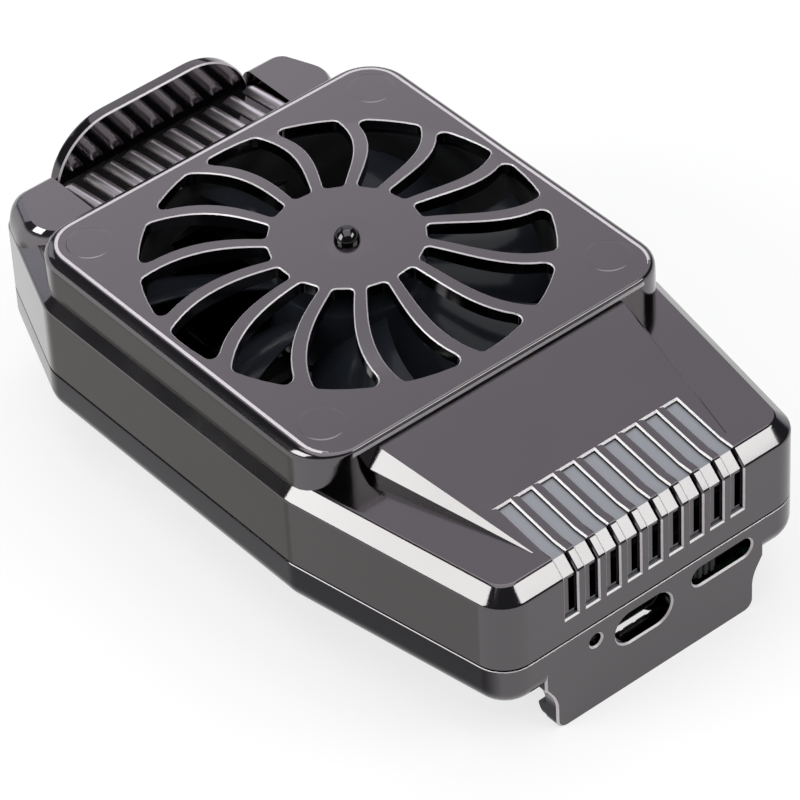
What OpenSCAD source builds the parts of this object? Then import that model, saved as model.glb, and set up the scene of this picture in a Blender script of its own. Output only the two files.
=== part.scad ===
// Clip-on phone cooling fan: a plated two-shell case with a domed grille, a battery-powered
// axial fan, and a sprung sliding jaw that closes on a phone against a fixed front jaw.
// The case stands on the tips of its two jaws. +Y points to the thumb grip, +Z up.

/* [Case] */
// Width of the case across its straight sides
case_w = 57.6; // [52:0.2:64]
// Length of the case from the charge end to the thumb end
case_l = 94.6; // [93:0.2:104]
// Width of the charge end
front_w = 46; // [44:0.5:52]
// Width of the thumb end
rear_w = 44; // [41:0.5:52]
// Length of the straight sides, centred on the fan
straight_l = 46; // [40:1:50]
// Distance from the charge end to the fan's axis
fan_from_front = 54.6; // [54:0.2:58]
// Radius of the corners at both ends
end_r = 4.5; // [3:0.5:6]
// Radius where the straight sides turn into the tapers
side_r = 6; // [2:1:12]
// Wall thickness of both shells
wall = 1.6; // [1.2:0.1:1.8]
// Height of the upper shell's plain side wall
side_h = 9.85; // [9.6:0.05:14]
// Height of the tray below the parting line
tray_h = 6.2; // [6:0.1:8]
// Radius of the tray's lower edge
tray_r = 3; // [1:0.5:3.5]
// Width of the bright chamfer round the hood
rim_chamfer = 2; // [1.4:0.1:2.4]

/* [Cover and grille] */
// Width of the ledge between the case's straight side and the raised cover
cover_ledge = 1.3; // [1:0.05:1.6]
// Length of the raised cover beyond its width
cover_extra = 1; // [0:0.1:2]
// Height of the cover above the side wall
cover_h = 7.2; // [6.6:0.1:10]
// Fillet along the cover's top edge
cover_fillet = 1.7; // [0.8:0.1:2]
// Corner radius of the cover
cover_corner_r = 6; // [3:0.5:8]
// Least width of the cover's flat round the grille
grille_margin = 2.5; // [2.3:0.1:4]
// Diameter of the grille's plain hub
hub_d = 19.3; // [16:0.1:24]
// Rise of the hub above the cover
dome_h = 2.07; // [1:0.01:3]
// Number of slots in the grille
slot_count = 15; // [9:1:20]
// Width of a grille spoke
spoke_w = 1.7; // [1.2:0.1:2.4]
// Angle by which a spoke bows at its middle
spoke_bow = 3.2; // [0:0.1:6]
// Corner radius of a grille slot
slot_r = 0.8; // [0.3:0.1:1]
// Diameter of the dimple at the hub's centre
dimple_d = 6.8; // [5:0.1:9]
// Depth of the dimple
dimple_depth = 0.9; // [0.4:0.1:1.1]
// Diameter of the nub in the dimple
nub_d = 3.2; // [2:0.1:4]
// Rise of the nub above the hub
nub_rise = 1.38; // [0.5:0.02:2.5]

/* [Hood] */
// Width of the hood's raised panel at the cover
panel_w = 38.6; // [30:0.2:44]
// Width of the raised panel at its front end
panel_tip_w = 31.4; // [24:0.2:36]
// Length of the raised panel
panel_l = 20.3; // [14:0.1:22]
// Rise of the panel at the cover
panel_rise = 3.8; // [2:0.1:4.6]
// Spread of the panel's sloping sides
panel_flare = 1.7; // [0.5:0.1:3]
// Number of vent slots
vent_count = 9; // [5:1:9]
// Distance between vent slots
vent_pitch = 3.2; // [2.8:0.1:3.4]
// Width of a vent slot
vent_w = 1.9; // [1.4:0.1:2.2]
// Depth of a vent slot's groove
vent_depth = 0.9; // [0.4:0.1:1]
// Width of the slit through a vent's front
slit_w = 1.2; // [0.8:0.1:1.3]
// Length of a vent slot along the hood
vent_l = 12.6; // [6:0.1:14]
// Length of a vent slot down the front wall
vent_drop = 6.3; // [4:0.1:8]

/* [Clamp] */
// Depth of the jaws below the tray
jaw_drop = 7.05; // [6.5:0.05:12]
// Width of the jaws
jaw_w = 30.8; // [26:0.2:34]
// Thickness of a jaw
jaw_t = 2.05; // [1.8:0.05:2.6]
// Depth of the hook on each jaw
hook_depth = 1.4; // [0.8:0.1:2]
// Height of the hook on each jaw
hook_h = 3; // [2:0.1:3.4]
// Gap between the jaws when closed
phone_gap = 64; // [62:0.5:66]
// Travel of the sliding jaw
clamp_travel = 22; // [16:0.5:22]
// Width of the thumb grip
thumb_w = 30.4; // [26:0.2:31]
// Height of the thumb lip above the hood
lip_h = 6.5; // [4:0.1:8]
// Thickness of the thumb lip
lip_t = 1.8; // [1.4:0.1:2.2]
// Number of ribs on the thumb grip
rib_count = 10; // [6:1:10]
// Width of a rib
rib_w = 1.5; // [1:0.1:1.8]
// Height of a rib
rib_h = 0.8; // [0.4:0.1:1]
// Width of the tongue that carries the rear jaw
tongue_w = 16; // [14:0.2:17]
// Running clearance of the slider
slide_gap = 0.3; // [0.2:0.05:0.4]
// Outer diameter of a clamp spring
spring_d = 2.5; // [2.2:0.1:2.5]
// Wire diameter of a clamp spring
spring_wire = 0.4; // [0.3:0.05:0.45]
// Distance between the curls of a clamp spring
spring_pitch = 1.05; // [1:0.05:1.4]
// Thickness of the soft jaw strips
strip_t = 0.8; // [0.4:0.1:1]

/* [Fan] */
// Height of the fan's frame
fan_h = 11; // [10:0.1:12]
// Wall of the duct ring
duct_wall = 0.8; // [0.6:0.1:1]
// Clearance between the blade tips and the duct
tip_gap = 0.7; // [0.4:0.1:1.2]
// Number of blades
blade_count = 7; // [5:1:9]
// Thickness of a blade
blade_t = 1; // [0.8:0.1:1.4]
// Chord of a blade at the hub, seen from above
blade_root_l = 9.4; // [7:0.1:10]
// Chord of a blade at its tip, seen from above
blade_tip_l = 12.4; // [9:0.1:14]
// Angle by which a blade's tip sweeps forward
blade_sweep = 9; // [0:0.5:14]
// Rise of a blade's camber
blade_camber = 0.9; // [0:0.1:1.2]
// Outer diameter of the rotor's hub
rotor_hub_d = 19; // [18.6:0.1:20]
// Shaft diameter
shaft_d = 2; // [1.5:0.1:2.2]
// Radial running clearance of the shaft
shaft_gap = 0.03; // [0.01:0.01:0.05]

/* [Electronics] */
// Width of the control board
board_w = 38; // [36:0.5:39]
// Depth of the control board
board_l = 22; // [21:0.5:23]
// Thickness of the control board
board_t = 1; // [0.8:0.1:1.2]
// Length of the battery cell
cell_w = 34; // [28:0.5:36]
// Width of the battery cell
cell_l = 16; // [12:0.5:16]
// Thickness of the battery cell
cell_t = 6; // [4:0.1:6.4]
// Thickness of the foam tape under the cell
tape_t = 0.5; // [0.3:0.1:0.8]
// Width of the charge opening
port_w = 8.7; // [8.4:0.1:9.4]
// Height of the charge opening
port_h = 4.6; // [3.6:0.1:4.6]
// Sideways place of the charge opening
port_x = -1.9; // [-3:0.1:-1.6]
// Height of the charge opening's centre above the tray's underside
port_up = 2.25; // [2.2:0.05:2.4]
// Width of the switch slot
switch_slot_w = 9.4; // [8.8:0.1:9.6]
// Height of the switch slot
switch_slot_h = 2.7; // [2.4:0.1:2.8]
// Sideways place of the switch slot
switch_x = 10.4; // [9.8:0.1:10.4]
// Height of the switch slot's centre above the tray's underside
switch_up = 3.3; // [3.2:0.05:3.4]
// Travel of the switch knob
switch_travel = 4; // [2:0.1:4.4]
// Width of the switch knob
knob_w = 3.4; // [2.4:0.1:4]
// Diameter of the lamp hole
lamp_d = 1.8; // [1.4:0.1:2]
// Sideways place of the lamp hole
lamp_x = -9.3; // [-10:0.1:-8.6]
// Height of the lamp hole above the tray's underside
lamp_up = 3.6; // [3.5:0.05:3.7]

/* [Fasteners and feet] */
// Distance of the case screws from the case's straight sides
screw_inset = 6.8; // [6.4:0.1:7.2]
// Diameter of the screw bosses
boss_d = 6.2; // [5.4:0.1:6.4]
// Shank diameter of the case screws
screw_d = 1.9; // [1.6:0.1:2.2]
// Head diameter of the case screws
head_d = 3.8; // [3.4:0.1:4.2]
// Length of a foot pad
pad_l = 7; // [5:0.5:9]
// Width of a foot pad
pad_w = 3.6; // [3:0.1:4.4]
// Height of a foot pad below the tray
pad_h = 1; // [0.6:0.1:1.4]

/* [Hidden] */
$fn = 64;

// Amount by which a cut runs past the face it opens
past = 1;
// Steps in a quarter of a rounded edge, and in a rounded corner
edge_steps = 4;
corner_steps = 6;
// Clearance between pieces that are fitted and don't move
fit = 0.1;
// Least radius left where a rounded corner is drawn in
least_r = 0.4;

// Heights above the jaw tips
z_tray = jaw_drop;
z_floor = z_tray + wall;
z_part = z_tray + tray_h;
z_side = z_part + side_h;
z_hood = z_side + rim_chamfer;
z_top = z_side + cover_h;
z_ceiling = z_top - wall;
z_hub = z_top + dome_h;

// Places along the case
y_front = -case_l / 2;
y_rear = case_l / 2;
fan_y = y_front + fan_from_front;
cover_w = case_w - 2 * cover_ledge;
cover_l = cover_w + cover_extra;
grille_d = cover_w - 2 * grille_margin;
cover_front = fan_y - cover_l / 2;
cover_rear = fan_y + cover_l / 2;
jaw_face = y_front + jaw_t;

// Outlines, counter-clockwise from the charge end's left corner
case_pts = [[-front_w / 2, y_front], [front_w / 2, y_front],
    [case_w / 2, fan_y - straight_l / 2], [case_w / 2, fan_y + straight_l / 2],
    [rear_w / 2, y_rear], [-rear_w / 2, y_rear],
    [-case_w / 2, fan_y + straight_l / 2], [-case_w / 2, fan_y - straight_l / 2]];
case_radii = [end_r, end_r, side_r, side_r, end_r, end_r, side_r, side_r];
cover_pts = [[-cover_w / 2, cover_front], [cover_w / 2, cover_front],
    [cover_w / 2, cover_rear], [-cover_w / 2, cover_rear]];
cover_radii = [for (p = cover_pts) cover_corner_r];

// Thumb notch and slider
notch_w = thumb_w + 2 * slide_gap;
notch_y = cover_rear + slide_gap;
thumb_y = notch_y + slide_gap;
tongue_reach = 20;
tongue_front = fan_y - tongue_reach;
tongue_t = 3.25;
tongue_inset = 0.2;
tongue_z = z_tray + tongue_inset;
tongue_top = tongue_z + tongue_t;
flange_out = 1.3;
flange_w = tongue_w + 2 * flange_out;
flange_t = 1.1;
channel_w = flange_w + 2 * slide_gap;
channel_top = tongue_top + slide_gap;
bridge_w = channel_w + 2 * wall;
bridge_t = 1.2;
bridge_top = channel_top + bridge_t;
rear_jaw_y = jaw_face + phone_gap;
jaw_r = 1.5;
jaw_flare = 1.5;
grip_drop = 0.4;
grip_skin = 1.8;

// Springs: each lies in a groove of the tongue, from a fixed post to the groove's rear end
spring_x = tongue_w / 4;
groove_gap = 0.2;
groove_w = spring_d + 2 * groove_gap;
groove_skin = 0.5;
groove_floor = tongue_z + groove_skin;
groove_start = 1.5;
groove_end = 2.6;
post_r = 0.9;
post_from_end = 3;
post_lift = 0.3;
post_root = 0.4;
spring_touch = 0.05;
spring_lift = 0.15;
post_y = tongue_front + clamp_travel + post_from_end;
spring_front = post_y + post_r + spring_touch;
spring_rear = thumb_y - groove_end;
spring_z = groove_floor + spring_lift + spring_d / 2;
coil_r = (spring_d - spring_wire) / 2;
coil_l = spring_rear - spring_front - 2 * spring_wire - spring_touch;
coil_turns = floor(coil_l / spring_pitch);
rings_per_curl = 8;
spring_sides = 6;
lead_in = 0.6;

// Fan: frame hung under the cover's ceiling, with the motor's parts measured from its base
duct_r = grille_d / 2;
fan_drop = 0.6;
z_fan1 = z_ceiling - fan_drop;
z_fan0 = z_fan1 - fan_h;
base_t = 1.4;
ear_t = 1.2;
z_base = z_fan0 + base_t;
rotor_gap = 0.8;
rotor_inset = 0.2;
rotor_low = z_base + rotor_gap;
rotor_top = z_fan1 - rotor_inset;
blade_drop = 0.8;
blade_top = z_fan1 - blade_drop;
hub_plate = 1.4;
hub_r = rotor_hub_d / 2;
hub_wall = 0.8;
yoke_t = 0.7;
magnet_t = 1.1;
yoke_r = hub_r - hub_wall;
magnet_r = yoke_r - yoke_t;
yoke_up = 0.6;
magnet_up = 0.8;
magnet_drop = 1;
air_gap = 0.4;
stator_r = magnet_r - magnet_t - air_gap;
tube_r = 3;
tube_drop = 3;
tube_top = z_fan1 - tube_drop;
cup_floor = 0.6;
bearing_r = 2.2;
bearing_up = 2.6;
bearing_low = z_fan0 + bearing_up;
stator_up = 2.5;
stator_low = z_base + stator_up;
stator_h = 3.3;
base_margin = 0.3;
motor_r = hub_r + base_margin;
core_wall = 1;
shaft_up = 0.9;
shaft_cover = 0.4;
shaft_groove = 0.2;
spigot_gap = 0.4;
spigot_wall = 1.6;
clip_up = 1.9;
clip_t = 0.4;
clip_play = 0.05;
clip_rim = 0.4;
clip_fit = 0.01;
drive_t = 0.8;
drive_margin = 0.2;
lead_hole_at = 3.4;
lead_hole_w = 3.2;
lead_hole_l = 1.8;

// Electronics: the sockets and the switch hang from the control board's underside
port_z = z_tray + port_up;
switch_z = z_tray + switch_up;
lamp_z = z_tray + lamp_up;
socket_h = 3.2;
socket_w = 8.9;
socket_l = 7.3;
board_z = port_z + socket_h / 2;
board_top = board_z + board_t;
board_gap = 0.25;
board_front = jaw_face + board_gap;
board_rear = board_front + board_l;
post_inset = 3;
post_d = 4.4;
post_hole_d = 1.6;
post_at = [board_w / 2 - post_inset, board_rear - post_inset];
cell_z = board_top + tape_t;
cell_inset = 1.2;
cell_front = board_front + cell_inset;

// Screws
screw_at = case_w / 2 - screw_inset;
head_depth = 5;
screw_bite = 6;
boss_top = z_fan0 + ear_t;
head_seat = z_tray + head_depth;
screw_end = boss_top + screw_bite;

// Directions and lines in the plane
function unit(v) = v / norm(v);
function left_of(a, b) = unit([a.y - b.y, b.x - a.x]);
function meet(p, u, q, v) = p + u * cross(q - p, v) / cross(u, v);
function before(list, i) = list[(i + len(list) - 1) % len(list)];
function after(list, i) = list[(i + 1) % len(list)];

// Outline drawn in by a distance, with its corners still sharp
function inset(pts, d) = [for (i = [0:len(pts) - 1])
    let (a = before(pts, i), b = pts[i], c = after(pts, i))
    meet(a + d * left_of(a, b), b - a, b + d * left_of(b, c), c - b)];

// Arc that rounds the corner at b, or the corner itself where the radius is nought
function corner(a, b, c, r, n) = r <= 0 ? [b] :
    let (u = unit(a - b), v = unit(c - b), half = acos(u * v) / 2,
        middle = b + unit(u + v) * r / sin(half), start = b + u * r / tan(half) - middle,
        from = atan2(start.y, start.x), turn = sign(cross(b - a, c - b)) * (180 - 2 * half))
    [for (k = [0:n]) middle + r * [cos(from + turn * k / n), sin(from + turn * k / n)]];

// Outline with rounded corners
function rounded(pts, radii, n = corner_steps) = [for (i = [0:len(pts) - 1])
    each corner(before(pts, i), pts[i], after(pts, i), radii[i], n)];
function drawn_in(pts, radii, d) = rounded(inset(pts, d), [for (r = radii) max(r - d, least_r)]);

// Levels of a rounded edge, as [height, inset], that rises from a wall at z to a flat r higher
function upper_edge(z, r) = [for (k = [0:edge_steps]) let (a = 90 * k / edge_steps)
    [z + r * sin(a), r * (1 - cos(a))]];

// Levels of a rounded edge that rises from a flat at z to a wall r higher
function lower_edge(z, r) = [for (k = [0:edge_steps]) let (a = 90 * k / edge_steps)
    [z + r * (1 - cos(a)), r * (1 - sin(a))]];

// Solid skinned over an outline that is drawn in by a set amount at each level, lowest level first
module stack(pts, radii, levels) {
    rings = [for (level = levels) [for (p = drawn_in(pts, radii, level[1])) [p.x, p.y, level[0]]]];
    n = len(rings[0]);
    last = len(levels) - 1;
    skin = [for (k = [0:last - 1], i = [0:n - 1])
        let (a = k * n + i, b = k * n + (i + 1) % n)
        each [[a, a + n, b], [b, a + n, b + n]]];
    polyhedron([for (r = rings) each r],
        concat(skin, [[for (i = [0:n - 1]) i]], [[for (i = [n - 1:-1:0]) last * n + i]]));
}

// Outline in the YZ plane pushed out to a width, centred on x
module along_x(w, x = 0) {
    translate([x - w / 2, 0, 0])
        rotate([90, 0, 90])
            linear_extrude(w)
                children();
}

// Outline in the XZ plane pushed from y0 to y1
module along_y(y0, y1) {
    translate([0, y1, 0])
        rotate([90, 0, 0])
            linear_extrude(y1 - y0)
                children();
}

// Slot outline with round ends, centred on a point
module slot_2d(w, h, at) {
    translate(at)
        for (s = [-1, 1])
            translate([s * (w - h) / 2, 0])
                circle(d = h);
    translate(at)
        square([w - h, h], center = true);
}

// Ring between two radii
module ring(r_out, r_in, z0, z1) {
    translate([0, fan_y, z0])
        linear_extrude(z1 - z0)
            difference() {
                circle(r_out);
                circle(r_in);
            }
}

// Tube of a given radius along a path; side_dir is square to the path all the way
module tube(path, r, sides, side_dir) {
    last = len(path) - 1;
    function heading(i) = unit(path[min(i + 1, last)] - path[max(i - 1, 0)]);
    function across(i) = unit(side_dir[i] - heading(i) * (heading(i) * side_dir[i]));
    points = [for (i = [0:last], k = [0:sides - 1]) let (a = 360 * k / sides)
        path[i] + r * (cos(a) * across(i) + sin(a) * cross(heading(i), across(i)))];
    skin = [for (i = [0:last - 1], k = [0:sides - 1])
        let (a = i * sides + k, b = i * sides + (k + 1) % sides)
        each [[a, a + sides, b], [b, a + sides, b + sides]]];
    caps = [for (k = [1:sides - 2])
        each [[0, k, k + 1], [last * sides, last * sides + k + 1, last * sides + k]]];
    polyhedron(points, concat(skin, caps));
}

// Places of the four case screws
module at_screws() {
    for (sx = [-1, 1], sy = [-1, 1])
        translate([sx * screw_at, fan_y + sy * screw_at, 0])
            children();
}

// Places of the two board posts
module at_posts() {
    for (sx = [-1, 1])
        translate([sx * post_at.x, post_at.y, 0])
            children();
}

// Inside of the case, with a wall left round the thumb notch
module inside_2d() {
    difference() {
        polygon(drawn_in(case_pts, case_radii, wall));
        translate([-notch_w / 2 - wall, notch_y - wall])
            square([notch_w + 2 * wall, case_l]);
    }
}

// Notch in which the thumb grip sits
module notch() {
    translate([-notch_w / 2, notch_y, z_tray - past])
        cube([notch_w, case_l, z_top]);
}

// Where a spoke bows most, as a share of the hub's and the grille's diameters together
bow_share = 0.231;

// Angle of a spoke's middle at radius r: it leaves the hub, bows back and then sweeps forward
function spoke_angle(r) = let (m = (hub_d + grille_d) * bow_share)
    spoke_bow * (pow((r - m) / (hub_d / 2 - m), 2) - 1);

// Outline of one grille slot between two spokes
module slot_outline() {
    steps = 6;
    pitch = 360 / slot_count;
    r0 = hub_d / 2;
    r1 = grille_d / 2;
    function edge(r, side) = let (half = asin(spoke_w / 2 / r),
        a = spoke_angle(r) + (side < 0 ? half : pitch - half)) r * [cos(a), sin(a)];
    radii = [for (k = [0:steps]) r0 + (r1 - r0) * k / steps];
    points = concat([for (r = radii) edge(r, -1)], [for (k = [steps:-1:0]) edge(radii[k], 1)]);
    rounding = [for (k = [0:steps]) (k == 0 || k == steps) ? slot_r : 0];
    polygon(rounded(points, concat(rounding, rounding), 4));
}

// Domed disc of the grille, lowered by a wall for its underside
module dome(lower) {
    translate([0, fan_y, -lower])
        rotate_extrude()
            polygon([[0, z_top - past], [duct_r, z_top - past], [duct_r, z_top],
                [hub_d / 2, z_hub], [0, z_hub]]);
}

// Raised panel of the hood, widest and highest at the cover
module hood_panel() {
    back = cover_front + cover_fillet + past;
    tip = back - panel_l - past;
    low = z_hood - past;
    half = panel_w / 2;
    foot = half + panel_flare;
    end = panel_tip_w / 2;
    foot_share = 0.4;
    foot_z = z_hood + panel_rise * foot_share;
    polyhedron(
        [[-half, back, z_hood + panel_rise], [half, back, z_hood + panel_rise],
            [foot, back, foot_z], [foot, back, low], [-foot, back, low], [-foot, back, foot_z],
            [-end, tip, z_hood], [end, tip, z_hood], [end, tip, low], [-end, tip, low]],
        [[0, 1, 7, 6], [1, 2, 7], [2, 3, 8, 7], [0, 6, 5], [5, 6, 9, 4],
            [3, 4, 9, 8], [6, 7, 8, 9], [5, 4, 3, 2, 1, 0]]);
}

// One shoulder beside the thumb notch, sloping down from the cover to the thumb end
module shoulder() {
    inner = notch_w / 2 - slide_gap;
    front = cover_rear - past;
    back = y_rear - end_r / 2;
    facet = 3.5;
    inside_edge = 0.3;
    taper = (case_w - rear_w) / 2 / (y_rear - fan_y - straight_l / 2);
    low = z_side + inside_edge;
    rise_front = 2.2;
    rise_back = 0.2;
    high_front = z_hood + rise_front;
    high_back = z_hood + rise_back;
    edge_front = rear_w / 2 + (y_rear - front) * taper - inside_edge;
    edge_back = rear_w / 2 + (y_rear - back) * taper - end_r / 3;
    polyhedron(
        [[inner, front, low], [inner, front, high_front], [edge_front - facet, front, high_front],
            [edge_front, front, low], [inner, back, low], [inner, back, high_back],
            [edge_back - facet, back, high_back], [edge_back, back, low]],
        [[0, 1, 2, 3], [7, 6, 5, 4], [4, 5, 1, 0], [1, 5, 6, 2], [2, 6, 3], [3, 6, 7], [3, 7, 4, 0]]);
}

// Groove of one vent, over the hood's edge and down the front wall
module vent(x) {
    start = y_front + vent_l;
    top = z_hood - vent_depth;
    face = y_front + vent_depth;
    edge = rim_chamfer;
    low = z_side - vent_drop;
    slit_low = low + 0.5;
    slit_high = z_side - 0.8;
    along_x(vent_w, x)
        polygon([[start, z_hood + past], [start, top], [face + edge, top], [face, top - edge],
            [face, low], [y_front - past, low], [y_front - past, z_hood + past]]);
    along_x(slit_w, x)
        polygon([[y_front - past, slit_low], [y_front + wall + past, slit_low],
            [y_front + wall + past, slit_high], [y_front - past, slit_high]]);
}

module upper_shell() {
    panel_relief = 1.2;
    panel_solid = 5;
    color([0.35, 0.33, 0.35]) {
        difference() {
            union() {
                stack(case_pts, case_radii, [[z_part, 0], [z_side, 0], [z_hood, rim_chamfer]]);
                stack(cover_pts, cover_radii,
                    concat([[z_side, 0]], upper_edge(z_top - cover_fillet, cover_fillet)));
                hood_panel();
                shoulder();
                mirror([1, 0, 0])
                    shoulder();
                dome(0);
            }
            translate([0, 0, z_part - past])
                linear_extrude(z_hood - wall - z_part + past)
                    inside_2d();
            translate([0, 0, z_side - past])
                linear_extrude(z_ceiling - z_side + past)
                    polygon(drawn_in(cover_pts, cover_radii, wall));
            along_x(panel_tip_w - 2 * wall)
                polygon([[cover_front + past, z_hood - wall - past],
                    [cover_front + past, z_hood + panel_rise - wall - panel_relief],
                    [cover_front - panel_l + panel_solid, z_hood - wall - past]]);
            dome(wall);
            translate([0, fan_y, z_part])
                linear_extrude(z_hub)
                    for (k = [0:slot_count - 1])
                        rotate(360 / slot_count * k)
                            slot_outline();
            for (k = [0:vent_count - 1])
                vent((k - (vent_count - 1) / 2) * vent_pitch);
            notch();
            translate([0, fan_y, 0])
                rotate_extrude()
                    polygon([[0, z_hub + past], [0, z_hub - dimple_depth],
                        [dimple_d / 2 - dimple_depth, z_hub - dimple_depth],
                        [dimple_d / 2, z_hub], [dimple_d / 2, z_hub + past]]);
        }
        translate([0, fan_y, 0])
            rotate_extrude()
                polygon([[0, z_hub - dimple_depth - wall / 4], [nub_d / 2, z_hub - dimple_depth - wall / 4],
                    [nub_d / 2, z_hub - dimple_depth], [nub_d / 6, z_hub + nub_rise], [0, z_hub + nub_rise]]);
        at_screws()
            difference() {
                translate([0, 0, boss_top])
                    cylinder(d = boss_d, h = z_ceiling + wall / 4 - boss_top);
                translate([0, 0, boss_top - past])
                    cylinder(d = screw_d + fit, h = screw_end + past - boss_top + past);
            }
    }
}

// Outline of a jaw in the XZ plane, from a height down to its tip, flared where it meets the tray
module jaw_2d(z_high, flare) {
    half = jaw_w / 2;
    root = flare <= 0 ? [[half, z_high]] :
        [[half, z_tray - flare], [half + flare, z_tray], [half + flare, z_high]];
    mirrored = [for (i = [len(root) - 1:-1:0]) [-root[i].x, root[i].y]];
    softened = flare <= 0 ? [0] : [flare, flare / 2, 0];
    polygon(rounded(concat([[-half, 0], [half, 0]], root, mirrored),
        concat([jaw_r, jaw_r], softened, [for (i = [len(root) - 1:-1:0]) softened[i]]), 4));
}

// Hook along a jaw's tip, on a face at y and pointing along dir
module jaw_hook(y, dir) {
    root = 0.5;
    slope = 0.4;
    edge = 1.1;
    toe = 0.2;
    along_x(jaw_w - 2 * jaw_r)
        polygon([[y - dir * root, hook_h], [y, hook_h], [y + dir * hook_depth, hook_h - slope],
            [y + dir * hook_depth, hook_h - edge], [y + dir * toe, 0], [y - dir * root, 0]]);
}

// Air outlet: two fields of slots beside the bridge that carries the tongue
module outlet_2d() {
    pitch = 6;
    bar = 1.6;
    margin = 2.5;
    reach = duct_r - margin;
    rows = floor(reach / pitch) + 1;
    intersection() {
        circle(reach);
        for (s = [-1, 1], k = [-rows:rows])
            translate([s * (bridge_w / 2 + reach) / 2, k * pitch])
                square([reach - bridge_w / 2, pitch - bar], center = true);
    }
}

module lower_shell() {
    switch_at = [switch_x, switch_z];
    pocket_w = socket_w + 4 * fit;
    color([0.3, 0.28, 0.3])
        difference() {
            union() {
                difference() {
                    stack(case_pts, case_radii, concat(lower_edge(z_tray, tray_r), [[z_part, 0]]));
                    translate([0, 0, z_floor])
                        linear_extrude(tray_h)
                            inside_2d();
                }
                translate([-bridge_w / 2, tongue_front - past - wall, z_tray])
                    cube([bridge_w, notch_y - tongue_front + past, bridge_top - z_tray]);
                at_screws()
                    translate([0, 0, z_floor - wall / 4])
                        cylinder(d = boss_d, h = z_fan0 - z_floor + wall / 4);
                at_posts()
                    translate([0, 0, z_floor - wall / 4])
                        cylinder(d = post_d, h = board_z - z_floor + wall / 4);
                along_y(y_front, jaw_face)
                    jaw_2d(z_part, jaw_flare);
                jaw_hook(jaw_face, 1);
            }
            notch();
            translate([0, fan_y, z_tray - past])
                linear_extrude(z_part)
                    outlet_2d();
            along_y(tongue_front - past, y_rear + past) {
                translate([-tongue_w / 2 - slide_gap, z_tray - past])
                    square([tongue_w + 2 * slide_gap, channel_top - z_tray + past]);
                translate([-channel_w / 2, tongue_top - flange_t - slide_gap])
                    square([channel_w, flange_t + 2 * slide_gap]);
            }
            at_screws() {
                translate([0, 0, z_tray - past])
                    cylinder(d = head_d + 4 * fit, h = head_seat - z_tray + past);
                translate([0, 0, z_tray])
                    cylinder(d = screw_d + 4 * fit, h = z_part);
            }
            at_posts()
                translate([0, 0, z_floor])
                    cylinder(d = post_hole_d, h = z_part);
            along_y(y_front - past, jaw_face + past) {
                slot_2d(port_w, port_h, [port_x, port_z]);
                slot_2d(switch_slot_w, switch_slot_h, switch_at);
                translate([lamp_x, lamp_z])
                    circle(d = lamp_d);
            }
            translate([port_x - pocket_w / 2, jaw_face - past / 10, port_z - socket_h / 2 - 2 * fit])
                cube([pocket_w, socket_l + 4 * fit, socket_h]);
        }
    color([0.3, 0.28, 0.3])
        for (s = [-1, 1])
            translate([s * spring_x, post_y, groove_floor + post_lift])
                cylinder(r = post_r, h = channel_top + post_root - groove_floor - post_lift);
}

// Profile of the thumb grip in the YZ plane: a floor that sweeps up into the lip
module grip_2d(lower) {
    floor_z = z_hood - grip_drop - lower;
    crest = z_hood + lip_h - lower;
    bend = 5.2;
    front = y_rear - lip_t + lower / 2;
    lip_r = lip_t * 0.3;
    steps = 8;
    sweep = [for (k = [0:steps]) let (a = 90 * k / steps)
        [front - bend + bend * sin(a), floor_z + bend - bend * cos(a)]];
    polygon(concat([[thumb_y, tongue_z], [thumb_y, floor_z]], sweep,
        [[front, crest - lip_r], [front + lip_r, crest], [y_rear - lip_r, crest],
        [y_rear, crest - lip_r], [y_rear, tongue_z]]));
}

// Outline of the thumb grip from behind, with its lip's corners rounded
module lip_2d() {
    r = 7.6;
    foot_r = 0.5;
    half = thumb_w / 2;
    polygon(rounded([[-half, tongue_z], [half, tongue_z], [half, z_hood + lip_h], [-half, z_hood + lip_h]],
        [foot_r, foot_r, r, r], 8));
}

module clamp_slider() {
    pitch = (thumb_w - rib_w) / (rib_count - 1);
    jaw_root = 0.3;
    hollow_back = 2;
    hollow_rise = 1.6;
    hollow_top = z_hood - grip_drop - rib_h - grip_skin;
    color([0.33, 0.31, 0.33]) {
        difference() {
            union() {
                intersection() {
                    union() {
                        along_x(thumb_w)
                            grip_2d(rib_h);
                        for (k = [0:rib_count - 1])
                            along_x(rib_w, (k - (rib_count - 1) / 2) * pitch)
                                grip_2d(0);
                    }
                    along_y(thumb_y - past, y_rear + past)
                        lip_2d();
                }
                along_y(tongue_front, thumb_y + past) {
                    translate([-tongue_w / 2, tongue_z])
                        square([tongue_w, tongue_t]);
                    translate([-flange_w / 2, tongue_top - flange_t])
                        square([flange_w, flange_t]);
                }
                along_y(rear_jaw_y, rear_jaw_y + jaw_t)
                    intersection() {
                        jaw_2d(tongue_z + past, 0);
                        union() {
                            translate([-jaw_w, 0])
                                square([2 * jaw_w, z_tray - slide_gap]);
                            translate([-tongue_w / 2, 0])
                                square([tongue_w, tongue_z + jaw_root]);
                        }
                    }
                jaw_hook(rear_jaw_y, -1);
            }
            along_x(thumb_w - 2 * grip_skin)
                polygon([[thumb_y - past, tongue_top], [thumb_y - past, hollow_top],
                    [y_rear - grip_skin - lip_t - hollow_back, hollow_top],
                    [y_rear - grip_skin, hollow_top + hollow_rise], [y_rear - grip_skin, tongue_top]]);
            for (s = [-1, 1])
                translate([s * spring_x - groove_w / 2, tongue_front + groove_start, groove_floor])
                    cube([groove_w, spring_rear - tongue_front - groove_start, tongue_t]);
        }
    }
}

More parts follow.
